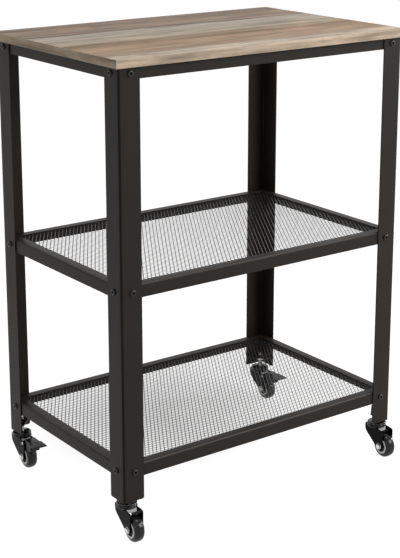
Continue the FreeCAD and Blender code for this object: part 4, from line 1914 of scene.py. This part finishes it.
@dataclass
class Stem(CasterPart):
    """The threaded stem with its hex collar, the kingpin and the upper race's cup.

    The cup's step is (inward, up) from its rim, and its shoulder (radius, down) from its top.
    """

    radius: float = 4
    low: float = 63.8
    high: float = 93
    sunk: float = 0.5
    plain: float = 1
    thread_pitch: float = 1.25
    thread_depth: float = 0.65
    thread_shares: Sequence[float] = (0.45, 0.55, 0.95)
    stem_segments: int = 28
    collar_flats: float = 13
    collar: Point2 = (77, 82)
    pin_radius: float = 4.5
    pin_low: float = 51.7
    pin_head: Sequence[Point2] = ((4.6, 0.0), (6.4, 0.8), (6.6, 2.0))
    pin_segments: int = 32
    smooth: float = 30
    soft_edge: float = 0.25
    soft_angle: float = 50
    cup_radius: float = 17.5
    cup_low: float = 59.8
    cup_high: float = 63.8
    cup_bore: Point2 = (4.6, 4.2)
    cup_roll: Roll = Roll(inward=1.4, up=1.4, radius=1.4, start=-90, end=75, steps=8)
    cup_step: Sequence[Point2] = ((2.4, 2.95), (5.0, 3.2))
    cup_shoulder: Sequence[Point2] = ((9.6, 0.5), (8.4, 0.0))
    cup_segments: int = 56
    cup_smooth: float = 40

    def build(self) -> None:
        """Make the stem and the cup."""
        self.build_stem()
        self.build_cup()

    def thread(self) -> list[Point2]:
        """List the stem's profile with its thread as rings.

        Returns:
            (radius, height) points from the foot to the tip.
        """
        radius, pitch = self.radius, self.thread_pitch
        root = radius - self.thread_depth
        foot = self.low - self.sunk
        z = self.low + self.plain
        profile = [(0.0, foot), (radius, foot), (radius, z)]
        fall, rise, crest = self.thread_shares
        while z + pitch < self.high - self.plain:
            profile += [(root, z + pitch * fall), (root, z + pitch * rise)]
            profile += [(radius, z + pitch * crest), (radius, z + pitch)]
            z += pitch
        return profile + [(radius - self.plain, self.high), (0.0, self.high)]

    def build_stem(self) -> None:
        """Make the stem, its collar and the kingpin."""
        stem = Solid(self.named("stem"))
        stem.lathe(self.thread(), self.stem_segments, self.place)
        stem.prism(hexagon(self.collar_flats), self.collar, self.place)
        head = [(r, self.pin_low + up) for r, up in self.pin_head]
        pin = [(0.0, self.pin_low), *head, (self.pin_radius, head[-1][1])]
        pin += [(self.pin_radius, self.cup_low), (0.0, self.cup_low)]
        stem.lathe(pin, self.pin_segments, self.place)
        made = stem.finish([self.materials.metal(ZINC_PLATE)], self.smooth)
        soften(made, self.soft_edge, angle=self.soft_angle)
        self.tie(made, FRAME_BODY, Slot.ZINC, self.named("caster_stem"))

    def build_cup(self) -> None:
        """Make the pressed cup: its rolled rim, a step, and the shoulder up to the stem."""
        cup = Solid(self.named("race_cup"))
        rim, low, high = self.cup_radius, self.cup_low, self.cup_high
        section = [(self.cup_bore[0], low), (rim - self.cup_roll.inward, low)]
        section += self.cup_roll.points(rim, low)
        section += [(rim - inward, low + up) for inward, up in self.cup_step]
        section += [(radius, high - down) for radius, down in self.cup_shoulder]
        section.append((self.cup_bore[1], high))
        cup.lathe(section, self.cup_segments, self.place, closed=True)
        made = cup.finish([self.materials.coated(GLOSS_ENAMEL)], self.cup_smooth)
        self.tie(made, FRAME_BODY, Slot.CASTER)


@dataclass
class Fork(CasterPart):
    """The pressed fork: two cheeks bent from the crown plate, a front lip and the lower race.

    A cheek's leading and trailing lines are (y, z) points with z falling, and the lip is
    (y, down) points from the crown's top.
    """

    sheet: float = 2
    bend: float = 3.2
    bend_segments: int = 6
    toe_radius: float = 7
    toe_narrow: float = 0.9
    lead_line: Sequence[Point2] = (
        (17.5, 57.0), (17.5, 50.0), (17.2, 47.0), (16.0, 43.6), (13.6, 40.4), (10.0, 37.4),
        (5.6, 34.2), (0.2, 30.3), (-6.0, 25.8), (-12.0, 21.4),
    )
    lead_toe: Point2 = (-2.0, 2.4)
    lead_turns: Sequence[float] = (-50, -62, -75, -90)
    tail_line: Sequence[Point2] = (
        (-24.0, 57.0), (-27.6, 56.3), (-30.4, 54.4), (-31.5, 51.5), (-31.5, 41.0),
        (-31.45, 36.0), (-31.3, 31.0), (-31.1, 27.0), (-31.0, 22.5),
    )
    tail_turns: Sequence[float] = (20, 40, 60, 75, 90)
    toe_steps: Sequence[float] = (0.03, 0.3, 0.9, 1.8, 3.0, 4.6)
    cheek_start: float = 6.5
    cheek_step: float = 2.35
    cheek_rows: int = 13
    cheek_clear: float = 0.5
    rows: int = 14
    crown_low: float = 54
    crown_high: float = 59.5
    crown_sheet: float = 2.5
    crown_span: Point2 = (-14.0, 17.5)
    crown_lines: Sequence[float] = (6.0, 2.0)
    lip: Sequence[Point2] = (
        (-12.0, 0.1), (-13.4, 0.2), (-14.4, 0.9), (-15.2, 2.2),
        (-18.9, 7.3), (-17.5, 8.2), (-13.6, 2.8), (-12.0, 1.9),
    )
    lip_gap: float = 0.1
    smooth: float = 32
    soft_edge: float = 0.3
    soft_angle: float = 40
    race_radius: float = 18
    race_bore: float = 4.7
    race_foot: float = 1.6
    race_lower: Roll = Roll(inward=1.3, up=1.3, radius=1.3, start=-70, end=70)
    race_waist: Point2 = (2.0, 2.9)
    race_upper: Roll = Roll(inward=2.2, up=4.2, radius=1.25, start=-60, end=90)
    race_segments: int = 56
    race_smooth: float = 40

    @property
    def crown_top(self) -> float:
        """The height of the crown plate's top."""
        return self.crown_low + self.crown_sheet

    def edges(self) -> tuple[list[Point2], list[Point2]]:
        """Draw the outline of a cheek, as two lines from the crown down to the toe.

        Returns:
            The leading and the trailing line.
        """
        trail, toe, axle = CASTER.trail, self.toe_radius, CASTER.wheel_radius
        toe_y, toe_z = self.lead_toe
        lead = [*self.lead_line, (toe - trail + toe_y, axle - toe + toe_z)]
        for turn in self.lead_turns:
            a = math.radians(turn)
            lead.append((-trail + toe * math.cos(a) * self.toe_narrow, axle + toe * math.sin(a)))
        tail = [*self.tail_line]
        for turn in self.tail_turns:
            a = math.radians(turn)
            tail.append((-trail - toe * math.cos(a), axle - toe * math.sin(a)))
        return lead, tail

    @staticmethod
    def at_height(line: Sequence[Point2], z: float) -> float:
        """Find where a falling outline passes a height.

        Args:
            line: (y, z) points with z falling.
            z: the height.

        Returns:
            The y at that height.
        """
        for (y0, z0), (y1, z1) in zip(line, line[1:]):
            if z1 <= z <= z0:
                return y0 if z0 == z1 else y0 + (y1 - y0) * (z0 - z) / (z0 - z1)
        return line[0][0] if z > line[0][1] else line[-1][0]

    def columns(self) -> list[Column]:
        """List the lines of the bent sheet, from one toe over the crown to the other.

        Returns:
            The columns.
        """
        lead, tail = self.edges()
        half, sheet, bend = CASTER.fork_width / 2, self.sheet, self.bend
        top, bottom = self.crown_top, CASTER.wheel_radius - self.toe_radius
        heights = [bottom + step for step in self.toe_steps]
        heights += [bottom + self.cheek_start + i * self.cheek_step for i in range(self.cheek_rows)]
        heights = [z for z in heights if z < top - bend - self.cheek_clear] + [top - bend]
        lines: list[Column] = []
        for z in heights:
            span = (self.at_height(tail, z), self.at_height(lead, z))
            lines.append(Column((half, z), (half - sheet, z), span, span))
        outer = arc((half - bend, top - bend), bend, 0, 90, self.bend_segments)
        inner = arc((half - bend, top - bend), bend - sheet, 0, 90, self.bend_segments)
        start, _ = self.crown_span
        for step, (o, i) in enumerate(list(zip(outer, inner))[1:], start=1):
            low = self.at_height(tail, o[1])
            span = (low + (start - low) * (step / self.bend_segments), self.at_height(lead, o[1]))
            lines.append(Column(o, i, span, span))
        for x in self.crown_lines:
            lines.append(Column((x, top), (x, top - sheet), self.crown_span, self.crown_span))
        return lines + [column.mirrored() for column in reversed(lines)]

    def build(self) -> None:
        """Make the fork and its race."""
        self.build_fork()
        self.build_race()

    def build_fork(self) -> None:
        """Make the cheeks, the crown and its front lip, which turns down toward the wheel."""
        fork = Solid(self.named("fork"))
        fork.bent_sheet(self.columns(), self.rows, self.place, along=Axis.Y)
        lip = [(y, self.crown_top - down) for y, down in self.lip]
        inside = CASTER.fork_width / 2 - self.sheet + self.lip_gap
        fork.prism(lip, (-inside, inside), self.place, axis=Axis.X, slot=1)
        coats = [self.materials.coated(ENAMEL), self.materials.coated(GLOSS_ENAMEL)]
        made = fork.finish(coats, self.smooth)
        soften(made, self.soft_edge, angle=self.soft_angle)
        self.tie(made, Moving.SWIVEL.at(self.corner), Slot.CASTER, self.named("caster_fork"))

    def build_race(self) -> None:
        """Make the lower race: a rolled rim, a waist and a second roll under the cup."""
        race = Solid(self.named("race_ring"))
        rim, low = self.race_radius, self.crown_low
        waist_inward, waist_up = self.race_waist
        section = [(self.race_bore, low), (rim - self.race_foot, low)]
        section += self.race_lower.points(rim, low)
        section.append((rim - waist_inward, low + waist_up))
        section += self.race_upper.points(rim, low)
        section.append((self.race_bore, self.crown_high))
        race.lathe(section, self.race_segments, self.place, closed=True)
        made = race.finish([self.materials.coated(GLOSS_ENAMEL)], self.race_smooth)
        self.tie(made, Moving.SWIVEL.at(self.corner), Slot.CASTER)


@dataclass
class Wheel(CasterPart):
    """The tyre, the spoked hub and the pale ring between them.

    The profiles are (radius, inward) points from the tyre's or the hub's outer face.
    """

    tyre_width: float = 19
    shoulder: Sequence[Point2] = (
        (14.6, 0.0), (16.2, 0.15), (18.2, 0.6), (20.2, 1.7), (21.5, 3.2), (22.2, 5.2)
    )
    tread_half: float = 2.2
    tyre_segments: int = 72
    tyre_smooth: float = 45
    hub_width: float = 21
    hub_face: Sequence[Point2] = (
        (3.05, 0.0), (6.0, 0.0), (6.4, 0.4), (6.6, 2.6), (7.4, 3.2),
        (10.0, 3.4), (10.8, 3.0), (11.2, 1.4), (11.4, 1.2),
    )
    hub_rim: Point2 = (14.8, 1.2)
    hub_segments: int = 60
    hub_smooth: float = 35
    spokes: int = 8
    spoke: Sequence[Point2] = ((6.0, -0.7), (11.0, -0.55), (11.0, 0.55), (6.0, 0.7))
    spoke_inward: Point2 = (4.4, 2.3)
    ring: Sequence[Point2] = (
        (11.4, 1.4), (11.5, 0.9), (12.0, 0.5), (14.3, 0.5), (14.8, 0.9), (14.85, 1.4)
    )
    ring_smooth: float = 40

    def build(self) -> None:
        """Make the tyre, the hub and the ring."""
        self.build_tyre()
        self.build_hub()
        self.build_ring()

    def build_tyre(self) -> None:
        """Make the tyre with its rounded shoulders."""
        tyre = Solid(self.named("tyre_ring"))
        half = self.tyre_width / 2
        profile = [(r, -half + inward) for r, inward in self.shoulder]
        profile.append((CASTER.wheel_radius, -self.tread_half))
        profile += [(r, -x) for r, x in reversed(profile)]
        tyre.lathe(profile, self.tyre_segments, self.about_axle, axis=Axis.X, closed=True)
        made = tyre.finish([self.materials.coated(TYRE_RUBBER)], self.tyre_smooth)
        self.tie(made, Moving.WHEEL.at(self.corner), Slot.TYRE, self.named("wheel_tyre"))

    def build_hub(self) -> None:
        """Make the hub: its boss, its dished web with spokes, and the rim under the tyre."""
        hub = Solid(self.named("hub_core"))
        place, half = self.about_axle, self.hub_width / 2
        rim, rim_inward = self.hub_rim
        face = [(r, half - inward) for r, inward in self.hub_face]
        profile = [*face, (rim, half - rim_inward), (rim, -half + rim_inward)]
        profile += [(r, -x) for r, x in reversed(face)]
        hub.lathe(profile, self.hub_segments, place, axis=Axis.X, closed=True)
        for sign in (1, -1):
            low, high = sorted(sign * (half - inward) for inward in self.spoke_inward)
            for k in range(self.spokes):
                t = 2 * math.pi * k / self.spokes
                c, s = math.cos(t), math.sin(t)
                outline = [(a * c - b * s, a * s + b * c) for a, b in self.spoke]
                hub.prism(outline, (low, high), place, axis=Axis.X)
        made = hub.finish([self.materials.coated(HUB_PLASTIC)], self.hub_smooth)
        self.tie(made, Moving.WHEEL.at(self.corner), Slot.HUB, self.named("wheel_hub"))

    def build_ring(self) -> None:
        """Make the pale ring on both faces of the hub."""
        ring = Solid(self.named("hub_ring"))
        half = self.hub_width / 2
        for sign in (1, -1):
            section = [(r, sign * (half - inward)) for r, inward in self.ring]
            ring.lathe(section, self.hub_segments, self.about_axle, axis=Axis.X, closed=True)
        made = ring.finish([self.materials.coated(RING_PLASTIC)], self.ring_smooth)
        self.tie(made, Moving.WHEEL.at(self.corner), Slot.HUB)


@dataclass
class Axle(CasterPart):
    """The axle bolt with a washer and a crowned hex head or nut at each end.

    The crown is (radius, inward) points from the head's outer face.
    """

    radius: float = 3
    washer_radius: float = 5.6
    washer_sheet: float = 0.7
    nut_flats: float = 9
    nut_height: float = 4
    nut_turn: float = 15
    chamfer: Point2 = (0.6, 0.5)
    crown: Sequence[Point2] = ((2.6, 0.1), (2.2, 0.01), (0.0, 0.01))
    segments: int = 32
    smooth: float = 30
    soft_edge: float = 0.2
    soft_angle: float = 50

    def build(self) -> None:
        """Make the bolt."""
        axle = Solid(self.named("axle_bolt"))
        half = CASTER.fork_width / 2
        shank = [(self.radius, -half), (self.radius, half)]
        axle.lathe(shank, self.segments, self.about_axle, axis=Axis.X)
        for sign in (1, -1):
            self.add_end(axle, sign, half)
        made = axle.finish([self.materials.metal(ZINC_PLATE)], self.smooth)
        soften(made, self.soft_edge, angle=self.soft_angle)
        self.tie(made, Moving.SWIVEL.at(self.corner), Slot.ZINC, self.named("axle"))

    def add_end(self, axle: Solid, sign: int, half: float) -> None:
        """Add the washer, the hexagon and its crown at one end.

        Args:
            axle: where they are added.
            sign: 1 for the end at +X, -1 for the other.
            half: how far the cheek's outer face is from the middle.
        """
        place = self.about_axle
        end = half + self.nut_height
        near, far = sign * half, sign * (half + self.washer_sheet)
        washer = [(self.radius, near), (self.washer_radius, near)]
        washer += [(self.washer_radius, far), (self.radius, far)]
        axle.lathe(washer, self.segments, place, axis=Axis.X, closed=True)
        narrower, start = self.chamfer
        low, high = sorted((far, sign * (end - start)))
        outline = hexagon(self.nut_flats, start=self.nut_turn)
        axle.prism(outline, (low, high), place, axis=Axis.X)
        inner = self.nut_flats / 2
        crown = [(inner, sign * (end - start)), (inner - narrower, sign * (end - self.crown[0][1]))]
        crown += [(r, sign * (end - inward)) for r, inward in self.crown]
        axle.lathe(crown, self.segments, place, axis=Axis.X)


@dataclass
class FootBrake(CasterPart):
    """The foot pedal and the pin that it tips on.

    The arm is (y, z) points, the tread is (y, down) points from the pedal's top, and the
    pin's head is (wider, out) points from its shank and the cheek's outer face.
    """

    pivot_back: float = 27
    pivot_height: float = 50.5
    top: float = 59
    arm: Sequence[Point2] = (
        (-23.6, 48.6), (-23.6, 52.4), (-24.6, 54.0), (-30.6, 58.6), (-32.0, 59.0), (-54.6, 59.0),
        (-55.0, 58.6), (-55.0, 54.0), (-52.2, 45.0), (-51.0, 41.2), (-50.4, 40.5), (-45.6, 40.5),
        (-44.6, 41.0), (-31.0, 46.7), (-27.0, 46.9), (-24.8, 47.3),
    )
    arm_width: float = 20
    tread: Sequence[Point2] = (
        (-53.0, 0.0), (-53.0, 5.4), (-54.0, 5.6), (-56.0, 5.2), (-60.0, 4.2), (-66.0, 3.9),
        (-67.5, 2.9), (-75.5, 2.5), (-76.0, 2.0), (-76.0, 0.5), (-75.6, 0.0),
    )
    tread_width: float = 25
    smooth: float = 30
    soft_edge: float = 0.5
    soft_segments: int = 3
    soft_angle: float = 25
    pin_radius: float = 1.6
    pin_tip: float = 0.5
    pin_head: Sequence[Point2] = ((0.5, 0.4), (0.8, 0.0), (0.0, 0.0))
    pin_segments: int = 24
    pin_smooth: float = 40

    def build(self) -> None:
        """Make the pedal and the pin."""
        self.build_pedal()
        self.build_pin()

    def build_pedal(self) -> None:
        """Make the arm with its jaw, and the wider tread."""
        pedal = Solid(self.named("pedal_plate"))
        half_arm, half_tread = self.arm_width / 2, self.tread_width / 2
        pedal.prism(self.arm, (-half_arm, half_arm), self.place, axis=Axis.X)
        tread = [(y, self.top - down) for y, down in self.tread]
        pedal.prism(tread, (-half_tread, half_tread), self.place, axis=Axis.X)
        made = pedal.finish([self.materials.coated(PEDAL_ENAMEL)], self.smooth)
        soften(made, self.soft_edge, segments=self.soft_segments, angle=self.soft_angle)
        self.tie(made, Moving.BRAKE.at(self.corner), Slot.PEDAL, self.named("brake_pedal"))

    def build_pin(self) -> None:
        """Make the pin with its two riveted heads."""
        pin = Solid(self.named("pedal_pin"))
        half = CASTER.fork_width / 2
        near = [(0.0, -half - self.pin_tip)]
        near += [(self.pin_radius + wider, -half - out) for wider, out in self.pin_head]
        profile = near + [(r, -x) for r, x in reversed(near)]
        place = shifted(self.place, self.pivot_back, self.pivot_height)
        pin.lathe(profile, self.pin_segments, place, axis=Axis.X)
        made = pin.finish([self.materials.metal(ZINC_PLATE)], self.pin_smooth)
        self.tie(made, Moving.SWIVEL.at(self.corner), Slot.ZINC, self.named("brake_pin"))


@dataclass
class Casters(Assembly):
    """The four swivel casters, two of them with a brake."""

    def build(self) -> None:
        """Make every caster, part by part, and gather its pieces."""
        for corner in Corner:
            place = turned(CASTER.turn, corner.signed(CART.swivel_x, CART.swivel_y, 0))
            braked = (FootBrake,) if corner.braked else ()
            for kind in (Stem, Fork, Wheel, Axle, *braked):
                part = kind(self.materials, corner, place)
                part.build()
                self.pieces += part.pieces


# Floor, light and camera


@dataclass(frozen=True)
class Lamp:
    """An area light: its place and aim in metres, its size, and its power in watts."""

    name: str
    place: Point3
    aim: Point3
    size: Point2
    power: float

    def build(self) -> None:
        """Add the light to the scene."""
        data = bpy.data.lights.new(self.name, "AREA")
        data.shape = "RECTANGLE"
        data.size, data.size_y = self.size
        data.energy = self.power
        lamp = bpy.data.objects.new(self.name, data)
        lamp.location = self.place
        toward = Vector(self.aim) - Vector(self.place)
        lamp.rotation_euler = toward.to_track_quat("-Z", "Y").to_euler()
        bpy.context.scene.collection.objects.link(lamp)


@dataclass
class Studio:
    """The pale floor, the soft lights and the camera."""

    world: float = 0.34
    lamps: Sequence[Lamp] = (
        Lamp("key", (1.6, -2.5, 2.0), (0.0, 0.0, 0.4), (1.5, 1.5), power=62.0),
        Lamp("side", (2.7, -0.7, 1.25), (0.0, 0.0, 0.3), (0.35, 0.35), power=34.0),
        Lamp("overhead", (0.5, -0.3, 2.9), (0.0, 0.0, 0.5), (1.0, 1.0), power=18.5),
        Lamp("glint_right", (2.2, -1.3, 0.8), (0.0, 0.0, 0.1), (0.05, 0.28), power=5.0),
        Lamp("glint_left", (-2.4, -0.9, 0.8), (0.0, 0.0, 0.1), (0.08, 0.4), power=2.5),
    )
    floor_half: float = 9.0
    floor_bounced: float = 0.55
    floor_shown: float = 0.2
    # painted shadow: the floor's glow is lower round a point at the cart's back edge
    floor_shadow_glow: float = 0.70
    floor_far: float = 0.94
    floor_shadow_middle: Point3 = (0.04, 0.24, 0.0)
    floor_shadow_reach: Point2 = (0.05, 0.27)
    camera_place: Point3 = (-1465.6, -1990.4, 1139.3)
    camera_yaw: float = 36.17
    camera_pitch: float = 14.286
    camera_clip: Point2 = (0.05, 50.0)
    focal_pixels: float = 1426.0
    long_side: float = 558.0
    sensor: float = 36.0
    shift_y: float = -0.15

    def build(self) -> None:
        """Set everything up."""
        scene = bpy.context.scene
        scene.view_settings.view_transform = "Standard"
        self.build_world(scene)
        self.build_floor(scene)
        for lamp in self.lamps:
            lamp.build()
        self.build_camera(scene)

    @staticmethod
    def seen(wiring: Wiring) -> bpy.types.NodeSocket:
        """Tell what is seen, directly, in a reflection or through glass, from what lights.

        Args:
            wiring: the wiring of the world or the material.

        Returns:
            1 where the camera sees it, and 0 where it lights other things.
        """
        ray = wiring.node("ShaderNodeLightPath").outputs
        direct = wiring.math("MAXIMUM", ray["Is Camera Ray"], ray["Is Transmission Ray"])
        return wiring.math("MAXIMUM", direct, ray["Is Glossy Ray"])

    def build_world(self, scene: bpy.types.Scene) -> None:
        """Make a plain world that the camera and reflections see as white.

        Args:
            scene: the scene.
        """
        world = bpy.data.worlds.new("studio")
        world.use_nodes = True
        scene.world = world
        wiring = Wiring(world.node_tree)
        background = world.node_tree.nodes["Background"].inputs
        strength = wiring.scaled(self.seen(wiring), gain=1.0 - self.world, offset=self.world)
        wiring.feed(background["Color"], opaque((1.0, 1.0, 1.0)))
        wiring.feed(background["Strength"], strength)

    def build_floor(self, scene: bpy.types.Scene) -> None:
        """Lay a white floor that keeps the cart's shadow and has a painted shadow at the cart's
        back edge.

        Args:
            scene: the scene.
        """
        data = bpy.data.meshes.new("floor")
        half = self.floor_half
        corners = [(-half, -half, 0), (half, -half, 0), (half, half, 0), (-half, half, 0)]
        data.from_pydata(corners, [], [(0, 1, 2, 3)])
        data.materials.append(self.floor_material())
        floor = bpy.data.objects.new("floor", data)
        scene.collection.objects.link(floor)

    def floor_material(self) -> bpy.types.Material:
        """Make the floor's white, with a painted shadow: less glow round a point at the cart's back
        edge.

        Seen from below it is clear, so that the cart's underside can be looked at.

        Returns:
            The material.
        """
        material = bpy.data.materials.new("floor_white")
        material.use_nodes = True
        nodes = material.node_tree.nodes
        nodes.remove(nodes["Principled BSDF"])
        wiring = Wiring(material.node_tree)
        seen = self.seen(wiring)
        place = wiring.node("ShaderNodeTexCoord").outputs["Object"]
        # painted shadow: the glow is lowest at the shadow's middle and rises outward
        reach = wiring.vectors("DISTANCE", place, self.floor_shadow_middle).outputs["Value"]
        rise = self.floor_far - self.floor_shadow_glow
        strength = wiring.scaled(
            wiring.ramp(reach, *self.floor_shadow_reach), gain=rise, offset=self.floor_shadow_glow
        )
        glow = wiring.node("ShaderNodeEmission")
        wiring.feed(glow.inputs["Strength"], wiring.product(seen, strength))
        levels = (self.floor_bounced, self.floor_shown)
        bounced, shown = (opaque((level, level, level)) for level in levels)
        diffuse = wiring.node("ShaderNodeBsdfDiffuse")
        wiring.feed(diffuse.inputs["Color"], wiring.mix(seen, bounced, shown))
        lit = wiring.node("ShaderNodeAddShader")
        wiring.feed(lit.inputs[0], diffuse.outputs[0])
        wiring.feed(lit.inputs[1], glow.outputs[0])
        one_sided = wiring.node("ShaderNodeMixShader")
        below = wiring.node("ShaderNodeNewGeometry").outputs["Backfacing"]
        clear = wiring.node("ShaderNodeBsdfTransparent").outputs[0]
        for socket, source in zip(one_sided.inputs, (below, lit.outputs[0], clear)):
            wiring.feed(socket, source)
        wiring.feed(nodes["Material Output"].inputs["Surface"], one_sided.outputs[0])
        return material

    def build_camera(self, scene: bpy.types.Scene) -> None:
        """Place the camera at the photograph's viewing angle.

        Args:
            scene: the scene.
        """
        data = bpy.data.cameras.new("camera")
        data.sensor_width = self.sensor
        data.lens = self.focal_pixels * data.sensor_width / self.long_side
        data.shift_y = self.shift_y
        data.clip_start, data.clip_end = self.camera_clip
        camera = bpy.data.objects.new("camera", data)
        yaw, pitch = math.radians(self.camera_yaw), math.radians(self.camera_pitch)
        level = math.cos(pitch)
        forward = Vector((math.sin(yaw) * level, math.cos(yaw) * level, -math.sin(pitch)))
        right = Vector((math.cos(yaw), -math.sin(yaw), 0.0))
        turn = Matrix((right, right.cross(forward), -forward)).transposed().to_4x4()
        place = Matrix.Translation([along * MM for along in self.camera_place])
        camera.matrix_world = place @ turn
        scene.collection.objects.link(camera)
        scene.camera = camera


def main() -> None:
    """Build the cart's looks on the frame."""
    logging.basicConfig(level=logging.INFO)
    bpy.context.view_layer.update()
    materials = MaterialLibrary()
    for kind in (Tabletop, Legs, Rails, MeshShelves, FrameBolts, Casters):
        assembly = kind(materials)
        assembly.build()
        for piece in assembly.pieces:
            log.info("%s: %s", kind.__name__, piece.name)
    Studio().build()
    log.info("Studio: floor, lights and camera")


if __name__ == "__main__":
    main()
